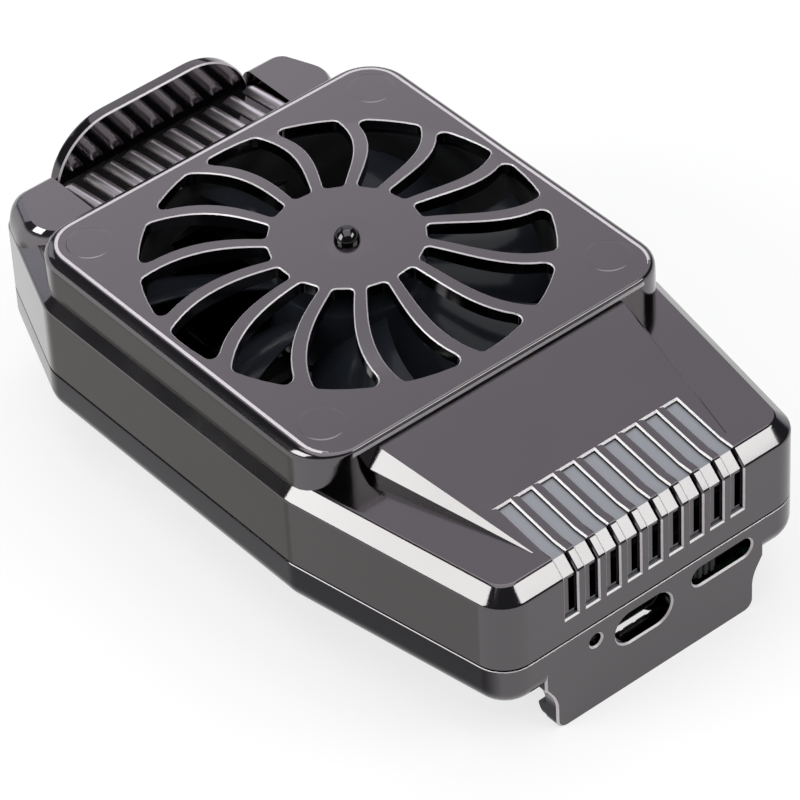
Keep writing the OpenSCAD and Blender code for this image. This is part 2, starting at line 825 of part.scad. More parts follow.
// Soft strip on a jaw's face, between the tray and the hook
module jaw_strip(y0, y1) {
    half = jaw_w / 2 - 2.5;
    low = hook_h + 0.2;
    high = z_tray - 0.6;
    r = 0.8;
    color([0.12, 0.12, 0.13])
        along_y(y0, y1)
            polygon(rounded([[-half, low], [half, low], [half, high], [-half, high]], [r, r, r, r], 4));
}

module front_jaw_pad() {
    jaw_strip(jaw_face, jaw_face + strip_t);
}

module rear_jaw_pad() {
    jaw_strip(rear_jaw_y - strip_t, rear_jaw_y);
}

// Path of a spring's wire along Y: a straight end, the curls, and a straight end
function spring_dir(a) = [cos(a), 0, sin(a)];
spring_angles = concat([0, 0], [for (i = [0:coil_turns * rings_per_curl]) 360 * i / rings_per_curl], [0, 0]);
spring_steps = coil_turns * rings_per_curl;
spring_path = concat([[coil_r, spring_front, 0], [coil_r, spring_front + spring_wire * lead_in, 0]],
    [for (i = [0:spring_steps]) coil_r * spring_dir(360 * i / rings_per_curl)
        + [0, spring_front + spring_wire + coil_l * i / spring_steps, 0]],
    [[coil_r, spring_rear - spring_touch - spring_wire * lead_in, 0], [coil_r, spring_rear - spring_touch, 0]]);
spring_gap = min([for (i = [0:len(spring_path) - 1])
    for (j = [i + rings_per_curl - 2:1:min(i + rings_per_curl + 2, len(spring_path) - 1)])
        norm(spring_path[i] - spring_path[j])]) - spring_wire;
echo(str("Least gap of a clamp spring to itself: ", spring_gap, " mm"));

module clamp_spring(side) {
    color([0.75, 0.75, 0.77])
        translate([side * spring_x, 0, spring_z])
            tube(spring_path, spring_wire / 2, spring_sides, [for (a = spring_angles) spring_dir(a)]);
}

module clamp_spring_left() {
    clamp_spring(-1);
}

module clamp_spring_right() {
    clamp_spring(1);
}

module fan_frame() {
    strut_w = 2.4;
    color([0.06, 0.06, 0.07])
        difference() {
            union() {
                ring(duct_r + duct_wall, duct_r, z_fan0, z_fan1);
                translate([0, fan_y, z_fan0])
                    cylinder(r = motor_r, h = base_t);
                translate([0, fan_y, z_fan0])
                    cylinder(r = tube_r, h = tube_top - z_fan0);
                for (a = [0:90:270])
                    translate([0, fan_y, z_fan0])
                        rotate(a)
                            translate([motor_r - past, -strut_w / 2, 0])
                                cube([duct_r + duct_wall / 2 - motor_r + past, strut_w, base_t]);
                translate([0, fan_y, z_fan0])
                    linear_extrude(ear_t)
                        for (a = [45:90:315])
                            rotate(a) {
                                translate([duct_r + duct_wall / 2, -boss_d / 2])
                                    square([screw_at * sqrt(2) - duct_r - duct_wall / 2, boss_d]);
                                translate([screw_at * sqrt(2), 0])
                                    circle(d = boss_d);
                            }
            }
            translate([0, fan_y, z_fan0 + cup_floor])
                cylinder(r = bearing_r, h = fan_h);
            at_screws()
                translate([0, 0, z_fan0 - past])
                    cylinder(d = screw_d + 4 * fit, h = ear_t + 2 * past);
            translate([-lead_hole_w / 2, fan_y - tube_r - lead_hole_at, z_fan0 - past])
                cube([lead_hole_w, lead_hole_l, base_t + 2 * past]);
        }
}

// Section of a blade at a share of its length from the hub: its upper side, then its lower side back
blade_sections = 6;
blade_steps = 4;
blade_root = 0.35;
blade_thin = 0.75;
blade_flat = 0.1;
blade_edge = 0.45;
function blade_point(out, t, side) = let (
    r = hub_r - blade_root + (duct_r - tip_gap - hub_r + blade_root) * out,
    half = (blade_root_l + (blade_tip_l - blade_root_l) * out) / 2,
    drop = (blade_top - rotor_low) / 2 * (1 - blade_flat * out) - blade_edge,
    a = blade_sweep * pow(out, 1.6) + t * half / r * 180 / PI,
    z = (blade_top + rotor_low) / 2 - t * drop + blade_camber * (1 - t * t) - blade_camber / 4
        + side * blade_t / 2 * (1 - blade_thin * t * t))
    [r * cos(a), r * sin(a), z];
function blade_section(out) = [for (side = [1, -1], k = [0:blade_steps])
    blade_point(out, side * (2 * k / blade_steps - 1), side)];

// One blade, skinned over its sections
module blade() {
    n = 2 * (blade_steps + 1);
    points = [for (i = [0:blade_sections]) each blade_section(i / blade_sections)];
    skin = [for (i = [0:blade_sections - 1], k = [0:n - 1])
        let (a = i * n + k, b = i * n + (k + 1) % n)
        each [[a, b, a + n], [b, b + n, a + n]]];
    tip = blade_sections * n;
    caps = [for (k = [0:blade_steps - 1])
        each [[k, n - 1 - k, k + 1], [k + 1, n - 1 - k, n - 2 - k],
            [tip + k, tip + k + 1, tip + n - 1 - k], [tip + k + 1, tip + n - 2 - k, tip + n - 1 - k]]];
    polyhedron(points, concat(skin, caps));
}

module fan_rotor() {
    color([0.05, 0.05, 0.06])
        translate([0, fan_y, 0]) {
            difference() {
                union() {
                    difference() {
                        translate([0, 0, rotor_low])
                            cylinder(r = hub_r, h = rotor_top - rotor_low);
                        translate([0, 0, rotor_low - past])
                            cylinder(r = hub_r - hub_wall, h = rotor_top - hub_plate - rotor_low + past);
                    }
                    translate([0, 0, tube_top + spigot_gap])
                        cylinder(d = shaft_d + 2 * spigot_wall,
                            h = rotor_top - hub_plate / 2 - tube_top - spigot_gap);
                }
                translate([0, 0, tube_top])
                    cylinder(d = shaft_d + fit / 5, h = rotor_top - shaft_cover - tube_top);
            }
            for (k = [0:blade_count - 1])
                rotate(360 / blade_count * k)
                    blade();
        }
}

module fan_shaft() {
    slot_h = clip_t + 2 * clip_play;
    color([0.8, 0.8, 0.82])
        translate([0, fan_y, 0])
            difference() {
                translate([0, 0, z_fan0 + shaft_up])
                    cylinder(d = shaft_d, h = rotor_top - shaft_cover - fit - z_fan0 - shaft_up);
                translate([0, 0, z_fan0 + clip_up - clip_play])
                    difference() {
                        cylinder(d = shaft_d + past, h = slot_h);
                        translate([0, 0, -past])
                            cylinder(d = shaft_d - 2 * shaft_groove, h = slot_h + 2 * past);
                    }
            }
}

module fan_bearing() {
    color([0.72, 0.55, 0.3])
        ring(bearing_r, shaft_d / 2 + shaft_gap, bearing_low, tube_top);
}

module shaft_clip() {
    color([0.85, 0.85, 0.8])
        ring(bearing_r - clip_rim, shaft_d / 2 - shaft_groove + clip_fit, z_fan0 + clip_up,
            z_fan0 + clip_up + clip_t);
}

module fan_yoke() {
    color([0.55, 0.56, 0.58])
        ring(yoke_r, magnet_r, rotor_low + yoke_up, rotor_top - hub_plate);
}

module fan_magnet() {
    color([0.2, 0.2, 0.21])
        ring(magnet_r, magnet_r - magnet_t, rotor_low + magnet_up, rotor_top - hub_plate - magnet_drop);
}

// Width of a stator arm, and thickness of the pole shoe at its end
arm_w = 1.6;
shoe_t = 0.9;

module fan_stator() {
    color([0.6, 0.6, 0.62])
        translate([0, fan_y, stator_low])
            linear_extrude(stator_h)
                difference() {
                    union() {
                        circle(tube_r + core_wall);
                        for (a = [0:90:270])
                            rotate(a) {
                                translate([0, -arm_w / 2])
                                    square([stator_r - shoe_t / 2, arm_w]);
                                intersection() {
                                    difference() {
                                        circle(stator_r);
                                        circle(stator_r - shoe_t);
                                    }
                                    translate([0, -stator_r / 2])
                                        square([stator_r, stator_r]);
                                }
                            }
                    }
                    circle(tube_r);
                }
}

module fan_windings() {
    build = 0.7;
    from = tube_r + core_wall + fit;
    to = sqrt(pow(stator_r - shoe_t - fit, 2) - pow(arm_w / 2 + build, 2));
    color([0.72, 0.38, 0.16])
        translate([0, fan_y, stator_low])
            for (a = [0:90:270])
                rotate(a)
                    difference() {
                        translate([from, -arm_w / 2 - build, -build])
                            cube([to - from, arm_w + 2 * build, stator_h + 2 * build]);
                        translate([from - past, -arm_w / 2, 0])
                            cube([to - from + 2 * past, arm_w, stator_h]);
                    }
}

module fan_board() {
    color([0.1, 0.35, 0.2])
        ring(magnet_r - drive_margin, tube_r + fit, z_base, z_base + drive_t);
}

// Route of the fan's wires: down through the base, under the front strut, over to the board
// Each is [height, distance before the fan's axis], with its bends in units of the bend size
wire_r = 0.45;
wire_sides = 8;
wire_x = 0.7;
wire_bend = 1;
lead_inset = 3.3;
lead_from = tube_r + lead_hole_at - lead_hole_l / 2;
lead_to = fan_y - board_rear + lead_inset;
lead_low = z_fan0 - 0.6 * wire_bend;
fan_lead_route = [[z_base, lead_from], [z_fan0 + 0.2 * wire_bend, lead_from],
    [z_fan0 - 0.35 * wire_bend, lead_from + 0.4 * wire_bend], [lead_low, lead_from + 1.1 * wire_bend],
    [lead_low, lead_from + (lead_to - lead_from) / 3], [lead_low, lead_from + (lead_to - lead_from) * 2 / 3],
    [lead_low - 0.3 * wire_bend, lead_to - 4.6 * wire_bend],
    [lead_low - 1.1 * wire_bend, lead_to - 1.4 * wire_bend],
    [lead_low - 2.2 * wire_bend, lead_to - 0.3 * wire_bend], [board_top + 0.6 * wire_bend, lead_to],
    [board_top, lead_to]];

module fan_leads() {
    color([0.5, 0.05, 0.05])
        for (x = [-wire_x, wire_x])
            tube([for (p = fan_lead_route) [x, fan_y - p[1], p[0]]], wire_r, wire_sides,
                [for (p = fan_lead_route) [1, 0, 0]]);
}

module battery() {
    r = 1.2;
    color([0.62, 0.64, 0.66])
        along_x(cell_w)
            polygon(rounded([[cell_front, cell_z], [cell_front + cell_l, cell_z],
                [cell_front + cell_l, cell_z + cell_t], [cell_front, cell_z + cell_t]], [r, r, r, r]));
}

module battery_tape() {
    inset = 2;
    color([0.9, 0.9, 0.88])
        translate([-cell_w / 2 + inset, cell_front + inset, board_top])
            cube([cell_w - 2 * inset, cell_l - 2 * inset, tape_t]);
}

// Route of the cell's wires, as [distance past the cell's end, height above the board] in bend sizes
battery_lead_route = [[0, 4.2], [0.6, 4.2], [1.1, 3.9], [1.3, 3.3], [1.3, 1.6], [1.3, 0]] * wire_bend;
battery_lead_y = [cell_l * 0.3, cell_l * 0.5];

module battery_leads() {
    color([0.1, 0.1, 0.1])
        for (y = battery_lead_y)
            tube([for (p = battery_lead_route)
                [-cell_w / 2 - p[0], cell_front + y, board_top + p[1]]], wire_r, wire_sides,
                [for (p = battery_lead_route) [0, 1, 0]]);
}

module control_board() {
    hole_d = 2;
    color([0.1, 0.3, 0.16])
        difference() {
            translate([-board_w / 2, board_front, board_z])
                cube([board_w, board_l, board_t]);
            at_posts()
                translate([0, 0, board_z - past])
                    cylinder(d = hole_d, h = board_t + 2 * past);
        }
}

module usb_socket() {
    skin = 0.3;
    back = 1;
    tongue_w = 6.2;
    tongue_t = 0.7;
    lip = board_front;
    color([0.7, 0.7, 0.72]) {
        difference() {
            along_y(lip, lip + socket_l)
                slot_2d(socket_w, socket_h, [port_x, port_z]);
            along_y(lip - past, lip + socket_l - back)
                slot_2d(socket_w - 2 * skin, socket_h - 2 * skin, [port_x, port_z]);
        }
        translate([port_x - tongue_w / 2, lip + back, port_z - tongue_t / 2])
            cube([tongue_w, socket_l - back * 3 / 2, tongue_t]);
    }
}

// Switch: a body with a channel in its front, and the knob that slides in it
switch_body_h = 2.15;
switch_body_l = 3.6;
stem_h = 1;
stem_inset = 0.5;
stem_drop = 1.45;
stem_z = board_z - stem_drop;
switch_channel_l = 2;
knob_rest = switch_x - switch_travel / 2;

module slide_switch() {
    body_w = switch_slot_w - 4 * fit;
    channel = switch_travel + knob_w - 2 * stem_inset + 2 * slide_gap;
    color([0.15, 0.15, 0.16])
        difference() {
            translate([switch_x - body_w / 2, board_front, board_z - switch_body_h])
                cube([body_w, switch_body_l, switch_body_h]);
            translate([switch_x - channel / 2, board_front - past, stem_z - fit])
                cube([channel, switch_channel_l + past, stem_h + 2 * fit]);
        }
}

module switch_knob() {
    head_h = switch_slot_h - 2 * slide_gap;
    recess = 0.6;
    behind = 0.15;
    front = y_front + recess;
    back = board_front + switch_channel_l - 2 * fit;
    color([0.1, 0.1, 0.11]) {
        translate([knob_rest - knob_w / 2, front, switch_z - head_h / 2])
            cube([knob_w, board_front - behind - front, head_h]);
        translate([knob_rest - knob_w / 2 + stem_inset, front + stem_inset, stem_z])
            cube([knob_w - 2 * stem_inset, back - front - stem_inset, stem_h]);
    }
}

module charge_led() {
    lens_r = 0.55;
    lens_out = 0.6;
    chip_w = 1.6;
    chip_l = 1.4;
    chip_h = 1.1;
    color([0.9, 0.92, 0.95]) {
        translate([lamp_x - chip_w / 2, board_front, board_z - chip_h])
            cube([chip_w, chip_l, chip_h]);
        along_y(board_front - lens_out, board_front + chip_l / 3)
            translate([lamp_x, min(lamp_z, board_z - lens_r)])
                circle(lens_r);
    }
}

module board_screws() {
    play = 0.3;
    shank_d = 1.5;
    top_d = 3.2;
    top_t = 1.1;
    color([0.75, 0.75, 0.78])
        at_posts() {
            translate([0, 0, z_floor + play])
                cylinder(d = shank_d, h = board_top - z_floor);
            translate([0, 0, board_top])
                cylinder(d = top_d, h = top_t);
        }
}

module case_screws() {
    head_t = 1.5;
    recess_w = 0.6;
    recess_l = head_d * 0.6;
    color([0.2, 0.2, 0.22])
        at_screws()
            difference() {
                union() {
                    translate([0, 0, head_seat - head_t])
                        cylinder(d = head_d, h = head_t);
                    translate([0, 0, head_seat - head_t / 2])
                        cylinder(d = screw_d, h = screw_end - head_seat + head_t / 2);
                }
                translate([0, 0, head_seat - head_t - past])
                    for (a = [0, 90])
                        rotate(a)
                            translate([-recess_l / 2, -recess_w / 2, 0])
                                cube([recess_l, recess_w, past + head_t / 2]);
            }
}

// Foot pads along the tray's edge, on its flat underside
module foot_pads() {
    taper = (case_w - front_w) / 2 / (fan_y - straight_l / 2 - y_front);
    front_at = 13;
    rear_at = 12;
    margin = 0.2;
    r = 1.2;
    front_y = y_front + front_at;
    rear_y = fan_y + rear_at;
    front_x = front_w / 2 + (front_y - y_front) * taper - tray_r - pad_w / 2 - margin;
    rear_x = case_w / 2 - tray_r - pad_w / 2 - margin;
    color([0.2, 0.2, 0.21])
        for (s = [-1, 1], p = [[front_x, front_y], [rear_x, rear_y]])
            translate([s * p.x, p.y, z_tray - pad_h])
                linear_extrude(pad_h)
                    polygon(rounded([[-pad_w / 2, -pad_l / 2], [pad_w / 2, -pad_l / 2],
                        [pad_w / 2, pad_l / 2], [-pad_w / 2, pad_l / 2]], [r, r, r, r]));
}

upper_shell();
lower_shell();
clamp_slider();
front_jaw_pad();
rear_jaw_pad();
clamp_spring_left();
clamp_spring_right();
fan_frame();
fan_rotor();
fan_shaft();
fan_bearing();
shaft_clip();
fan_yoke();
fan_magnet();
fan_stator();
fan_windings();
fan_board();
fan_leads();
battery();
battery_tape();
battery_leads();
control_board();
usb_socket();
slide_switch();
switch_knob();
charge_led();
board_screws();
case_screws();
foot_pads();
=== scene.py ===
"""Clip-on phone cooling fan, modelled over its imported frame."""
import math
from types import SimpleNamespace

import bpy
from mathutils import Matrix, Vector


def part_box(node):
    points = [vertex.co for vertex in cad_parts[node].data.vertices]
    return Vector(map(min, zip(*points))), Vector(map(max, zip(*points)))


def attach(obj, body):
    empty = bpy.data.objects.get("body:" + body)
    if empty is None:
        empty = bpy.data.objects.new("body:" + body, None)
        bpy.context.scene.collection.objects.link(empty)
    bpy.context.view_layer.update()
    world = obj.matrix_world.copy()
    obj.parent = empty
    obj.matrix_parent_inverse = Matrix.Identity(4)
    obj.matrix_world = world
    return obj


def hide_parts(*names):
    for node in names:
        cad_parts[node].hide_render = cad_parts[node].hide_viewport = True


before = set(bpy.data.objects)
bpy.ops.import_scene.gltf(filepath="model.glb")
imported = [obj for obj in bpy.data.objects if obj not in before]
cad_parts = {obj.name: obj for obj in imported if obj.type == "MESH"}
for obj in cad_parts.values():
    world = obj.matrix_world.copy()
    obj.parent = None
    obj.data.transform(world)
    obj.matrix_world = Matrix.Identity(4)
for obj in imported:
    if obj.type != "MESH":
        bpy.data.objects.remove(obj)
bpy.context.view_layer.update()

bl_info = {
    "name": "Phone Cooling Fan",
    "version": (1, 0, 0),
    "blender": (4, 5, 0),
    "location": "View3D > Sidebar > Cooling Fan",
    "description": "Models a clip-on phone cooling fan over its packed solids",
    "category": "Add Mesh",
}

# The pieces are modelled in millimetres and brought to metres when they are finished.
MM = 0.001
SMOOTH_ANGLE = math.radians(32)
# how far cutters reach past a surface, past a rim that they bevel, and past the case's end and top
CUT_PAST = 1.0
RIM_PAST = 0.1
END_PAST = 5
# keeps points of a profile apart that would fall together
APART = 0.01
# a face that is square to an axis has that part of its normal above this
FLAT = 0.99
# how far the floor shows as plain white to the camera and in reflections
FLOOR_GLOW = 0.7


def length(name, description, millimetres):
    """A length property, with its default given in millimetres."""
    return bpy.props.FloatProperty(name=name, description=description, default=millimetres * MM,
                                   unit="LENGTH", precision=5)


def colour(name, description, value):
    """A colour property."""
    return bpy.props.FloatVectorProperty(name=name, description=description, default=value,
                                         subtype="COLOR", size=3, min=0, max=1)


def share(name, description, value):
    """A property from nought to one."""
    return bpy.props.FloatProperty(name=name, description=description, default=value,
                                   subtype="FACTOR", min=0, max=1)


def box_mm(node):
    """A node's lowest and highest corners in millimetres."""
    low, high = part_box(node)[:2]
    return Vector(low) / MM, Vector(high) / MM


UPPER_LOW, UPPER_HIGH = box_mm("upper_shell")
ROTOR_LOW, ROTOR_HIGH = box_mm("fan_rotor")
FEET_LOW, FEET_HIGH = box_mm("foot_pads")
Y_FRONT = UPPER_LOW.y
Y_REAR = UPPER_HIGH.y
FAN_Y = (ROTOR_LOW.y + ROTOR_HIGH.y) / 2
Z_PART = UPPER_LOW.z
Z_TRAY = FEET_HIGH.z
# clear space on each side of the thumb grip, and where the grille's dome levels off inside the hub
SLIDE_GAP = 0.3
CROWN_IN = 0.6
DOME_SWELL = 1.15
SCREW_OUT = 22
SCREWS = [(x * SCREW_OUT, FAN_Y + y * SCREW_OUT) for x in (-1, 1) for y in (-1, 1)]
# the thumb slide's lower face, its tongue, and the flanges along that
SLIDE_LOW = Z_TRAY + 0.2
TONGUE_START = FAN_Y - 20
TONGUE_HALF = 8
TONGUE_TOP = 10.5
FLANGE_HALF = 9.3
FLANGE_LOW = 9.4
# widths of the lines of painted highlight and of the jaws' bevels, and the height of the thumb grip's ribs
BRIGHT_LINE = 0.08
JAW_BEVEL = 0.25
RIB_HEIGHT = 0.9
# finishes of a plated piece: plain, painted highlight and satin
PLATED_SLOTS = ("plated_case", "plated_rim", "plated_satin")


class FanSizes(bpy.types.PropertyGroup):
    """Sizes of the fan's case, grille, hood and clamp."""
    case_width: length("Case width", "Width across the straight sides", UPPER_HIGH.x - UPPER_LOW.x)
    front_width: length("Charge end width", "Width of the end with the charge opening", 46)
    rear_width: length("Thumb end width", "Width of the end with the thumb grip", 44)
    straight: length("Straight length", "Length of the straight sides, centred on the fan", 46)
    end_radius: length("Charge end radius", "Radius of the corners at the charge end", 4.5)
    rear_radius: length("Thumb end radius", "Radius of the corners at the thumb end", 2.6)
    side_radius: length("Side radius", "Radius where the sides turn into the tapers", 6)
    wall: length("Wall", "Wall thickness of the shells", 1.6)
    side_height: length("Side height", "Height of the upper shell's plain wall", 9.85)
    chamfer: length("Hood chamfer", "Width of the bright chamfer round the hood", 2)
    tray_radius: length("Tray radius", "Radius of the tray's lower edge", 3)
    cover_ledge: length("Cover ledge", "Ledge between the side and the cover", 1.3)
    cover_extra: length("Cover length", "Length of the cover beyond its width", 1)
    cover_height: length("Cover height", "Height of the cover above the side wall", 7.2)
    cover_fillet: length("Cover fillet", "Fillet along the cover's top edge", 1.7)
    cover_brow: length("Cover brow", "Fillet along the cover's top edge above the hood", 0.5)
    cover_corner: length("Cover corner", "Corner radius of the cover", 6)
    grille_radius: length("Grille radius", "Radius of the grille's outer ring", 25)
    hub_radius: length("Hub radius", "Radius of the grille's plain hub", 9.65)
    dome: length("Dome", "Rise of the hub above the cover", 2.07)
    spoke_inner: length("Spoke at hub", "Width of a spoke where it leaves the hub", 1.5)
    spoke_outer: length("Spoke at ring", "Width of a spoke where it meets the ring", 2.1)
    slot_rim: length("Slot rim", "Bevel round the grille's slots", 0.14)
    dish_radius: length("Dish radius", "Radius of the shallow dish round the hub's nub", 4.5)
    dish_depth: length("Dish depth", "Depth of the shallow dish round the hub's nub", 0.35)
    vent_width: length("Vent width", "Width of a vent's groove", 1.9)
    vent_pitch: length("Vent pitch", "Distance from one vent to the next", 3.2)
    vent_depth: length("Vent depth", "Depth of a vent's groove", 0.5)
    vent_rim: length("Vent rim", "Bevel round a vent's groove", 0.2)
    vent_slope: length("Vent slope", "Width of the slope along a vent's plain edge", 0.55)
    vent_length: length("Vent length", "Reach of a vent over the hood from the front", 11.45)
    vent_drop: length("Vent drop", "Reach of a vent down the front wall", 6.3)
    panel_tip: length("Panel tip", "Distance of the hood panel's tip from the front", 4.1)
    panel_rise: length("Panel rise", "Rise of the hood's panel at the cover", 3.8)
    shoulder_rise: length("Shoulder rise", "Height of the shoulders above the hood", 2)
    shoulder_inset: length("Shoulder inset", "How far the shoulders' sides lean in", 1.9)
    thumb_width: length("Thumb grip width", "Width of the thumb grip", 30.4)
    lip_height: length("Thumb lip", "Height of the thumb lip above the hood", 7.2)
    lip_thickness: length("Lip thickness", "Thickness of the thumb lip", 1.8)
    lip_corner: length("Lip corner", "Corner radius of the thumb lip", 8.8)
    rib_width: length("Rib width", "Width of a rib of the thumb grip", 1.9)
    rib_rise: length("Rib rise", "Height of the ribs above the hood, at the cover", 2.4)
    rib_fall: length("Rib fall", "How far the ribs fall towards the lip", 1.2)
    jaw_width: length("Jaw width", "Width of the jaws", 30.8)
    jaw_thickness: length("Jaw thickness", "Thickness of a jaw", 2.05)
    clamp_closed: length("Closed clamp", "Distance between the jaws at rest", 64)


class FanFinish(bpy.types.PropertyGroup):
    """Colours and gloss of the fan's finishes."""
    plating: colour("Plating", "Colour of the dark plating on the case", (0.134, 0.124, 0.132))
    plating_gloss: share("Plating roughness", "Roughness of the plating", 0.11)
    blades: colour("Blades", "Colour of the fan's blades", (0.014, 0.016, 0.021))
    rubber: colour("Pads", "Colour of the soft pads", (0.42, 0.42, 0.43))
    floor: colour("Floor", "Colour of the floor", (0.86, 0.86, 0.86))


def sizes_mm(scene):
    """The fan's sizes in millimetres, with the heights and places that follow from them."""
    group = scene.fan_sizes
    sizes = SimpleNamespace(**{name: getattr(group, name) / MM for name in FanSizes.__annotations__})
    sizes.wall_top = Z_PART + sizes.side_height
    sizes.hood_top = sizes.wall_top + sizes.chamfer
    sizes.cover_top = sizes.wall_top + sizes.cover_height
    deep = sizes.case_width / 2 - sizes.cover_ledge + sizes.cover_extra / 2
    sizes.cover_front = FAN_Y - deep
    sizes.cover_rear = FAN_Y + deep
    sizes.notch_half = sizes.thumb_width / 2 + SLIDE_GAP
    sizes.notch_start = sizes.cover_rear + SLIDE_GAP
    sizes.grip_start = sizes.cover_rear + 2 * SLIDE_GAP
    sizes.lip_front = Y_REAR - sizes.lip_thickness
    sizes.jaw_half = sizes.jaw_width / 2
    sizes.jaw_face = Y_FRONT + sizes.jaw_thickness
    return sizes


# Outlines


def corner_arc(a, b, c, radius, steps):
    """The points that round the corner at b."""
    if radius <= 0:
        return [b.copy()]
    u = (a - b).normalized()
    v = (c - b).normalized()
    half = math.acos(max(-1, min(1, u.dot(v)))) / 2
    middle = b + (u + v).normalized() * (radius / math.sin(half))
    start = b + u * (radius / math.tan(half)) - middle
    along = b - a
    out = c - b
    turn = math.copysign(math.pi - 2 * half, along.x * out.y - along.y * out.x)
    first = math.atan2(start.y, start.x)
    angles = [first + turn * k / steps for k in range(steps + 1)]
    return [middle + radius * Vector((math.cos(angle), math.sin(angle))) for angle in angles]


def rounded(points, radii, steps=8):
    """An outline with its corners rounded."""
    points = [Vector(p) for p in points]
    ring = []
    for i, b in enumerate(points):
        ring += corner_arc(points[i - 1], b, points[(i + 1) % len(points)], radii[i], steps)
    return ring


def drawn_in(points, radii, inset, steps=8):
    """A rounded outline of anticlockwise points, drawn in by one distance or by one for each side."""
    least = 0.3
    points = [Vector(p) for p in points]
    insets = inset if isinstance(inset, tuple) else [inset] * len(points)
    moved = []
    bends = []
    for i, b in enumerate(points):
        a = points[i - 1]
        c = points[(i + 1) % len(points)]
        u = (b - a).normalized()
        v = (c - b).normalized()
        after = insets[(i + 1) % len(points)]
        p = a + insets[i] * Vector((-u.y, u.x))
        q = b + after * Vector((-v.y, v.x))
        reach = ((q - p).x * v.y - (q - p).y * v.x) / (u.x * v.y - u.y * v.x)
        moved.append(p + u * reach)
        bends.append(max(radii[i] - max(insets[i], after), least) if radii[i] else 0)
    return rounded(moved, bends, steps)


def oblong(left, low, right, high):
    """The four corners of an oblong, anticlockwise."""
    return [(left, low), (right, low), (right, high), (left, high)]


def widened(ring, width):
    """An anticlockwise outline with each of its points moved outwards."""
    moved = []
    for i, point in enumerate(ring):
        along = (ring[(i + 1) % len(ring)] - ring[i - 1]).normalized()
        moved.append(point + width * Vector((along.y, -along.x)))
    return moved


def at_height(ring, z):
    """A plan outline lifted to a height."""
    return [Vector((p[0], p[1], z)) for p in ring]


def at_depth(ring, y):
    """An outline of x and z stood up at a distance along the case."""
    return [Vector((p[0], y, p[1])) for p in ring]


def at_side(ring, x):
    """An outline of y and z stood up at a distance across the case."""
    return [Vector((x, p[0], p[1])) for p in ring]


def circle(radius, count, x, y):
    """The points of a circle."""
    angles = [math.tau * k / count for k in range(count)]
    return [Vector((x + radius * math.cos(angle), y + radius * math.sin(angle))) for angle in angles]


def stadium(width, height, x, z):
    """A slot outline with round ends, whose corners stay just apart."""
    r = height / 2
    w = width / 2
    return [Vector((x, z)) + p for p in rounded(oblong(-w, -r, w, r), [r * 0.999] * 4, 10)]


# Modelling steps


def ready():
    """Leaves edit mode with nothing selected."""
    if bpy.context.object and bpy.context.object.mode != "OBJECT":
        bpy.ops.object.mode_set(mode="OBJECT")
    bpy.ops.object.select_all(action="DESELECT")


def take(piece):
    """Makes a piece the only one selected."""
    ready()
    piece.select_set(True)
    bpy.context.view_layer.objects.active = piece


def loft(name, rings):
    """A closed piece: a filled circle set to the first ring, and extruded through the others."""
    ready()
    bpy.ops.mesh.primitive_circle_add(vertices=len(rings[0]), radius=1, fill_type="NGON")
    piece = bpy.context.object
    piece.name = name
    for vertex, point in zip(piece.data.vertices, rings[0]):
        vertex.co = point
    bpy.ops.object.mode_set(mode="EDIT")
    bpy.ops.mesh.select_mode(type="FACE")
    bpy.ops.mesh.select_all(action="SELECT")
    for before, ring in zip(rings, rings[1:]):
        bpy.ops.mesh.extrude_region_move(TRANSFORM_OT_translate={"value": (0, 0, CUT_PAST)})
        bpy.ops.object.mode_set(mode="OBJECT")
        for vertex in [v for v in piece.data.vertices if v.select]:
            spot = vertex.co - Vector((0, 0, CUT_PAST))
            nearest = min(range(len(before)), key=lambda k: (before[k] - spot).length_squared)
            vertex.co = ring[nearest]
        bpy.ops.object.mode_set(mode="EDIT")
    # turns the faces outwards
    bpy.ops.mesh.select_all(action="SELECT")
    bpy.ops.mesh.normals_make_consistent(inside=False)
    bpy.ops.object.mode_set(mode="OBJECT")
    return piece


def stacked(name, corners, radii, levels, steps=8, place=at_height):
    """A piece lofted through a rounded outline that is drawn in at each of its levels."""
    return loft(name, [place(drawn_in(corners, radii, inset, steps), level) for level, inset in levels])


def prism(name, ring, low, high, place=at_height):
    """A piece of one outline, from one place to another."""
    return loft(name, [place(ring, low), place(ring, high)])


def turned(name, profile, count=96):
    """A round piece on the fan's axis, lofted through a profile of radius and height."""
    return loft(name, [at_height(circle(r, count, 0, FAN_Y), z) for r, z in profile])


def block(name, low, high):
    """A box between two corners, extruded from its lower face."""
    return prism(name, oblong(*low[:2], *high[:2]), low[2], high[2])


def joined(pieces):
    """Several pieces made one."""
    take(pieces[0])
    for piece in pieces[1:]:
        piece.select_set(True)
    if len(pieces) > 1:
        bpy.ops.object.join()
    return pieces[0]


def repeated(piece, moves):
    """A piece copied to several places and made one; the first is replaced too."""
    copies = []
    for move in moves:
        twin = piece.copy()
        twin.data = piece.data.copy()
        twin.data.transform(move)
        bpy.context.collection.objects.link(twin)
        copies.append(twin)
    bpy.data.objects.remove(piece, do_unlink=True)
    return joined(copies)


def round_fan(count):
    """The turns that repeat a piece round the fan's axis."""
    centre = Matrix.Translation((0, FAN_Y, 0))
    turns = [Matrix.Rotation(math.tau * k / count, 4, "Z") for k in range(count)]
    return [centre @ turn @ centre.inverted() for turn in turns]


def in_row(count, pitch, middle=0):
    """The moves that repeat a piece in a row across the case."""
    return [Matrix.Translation((middle + pitch * (k - (count - 1) / 2), 0, 0)) for k in range(count)]


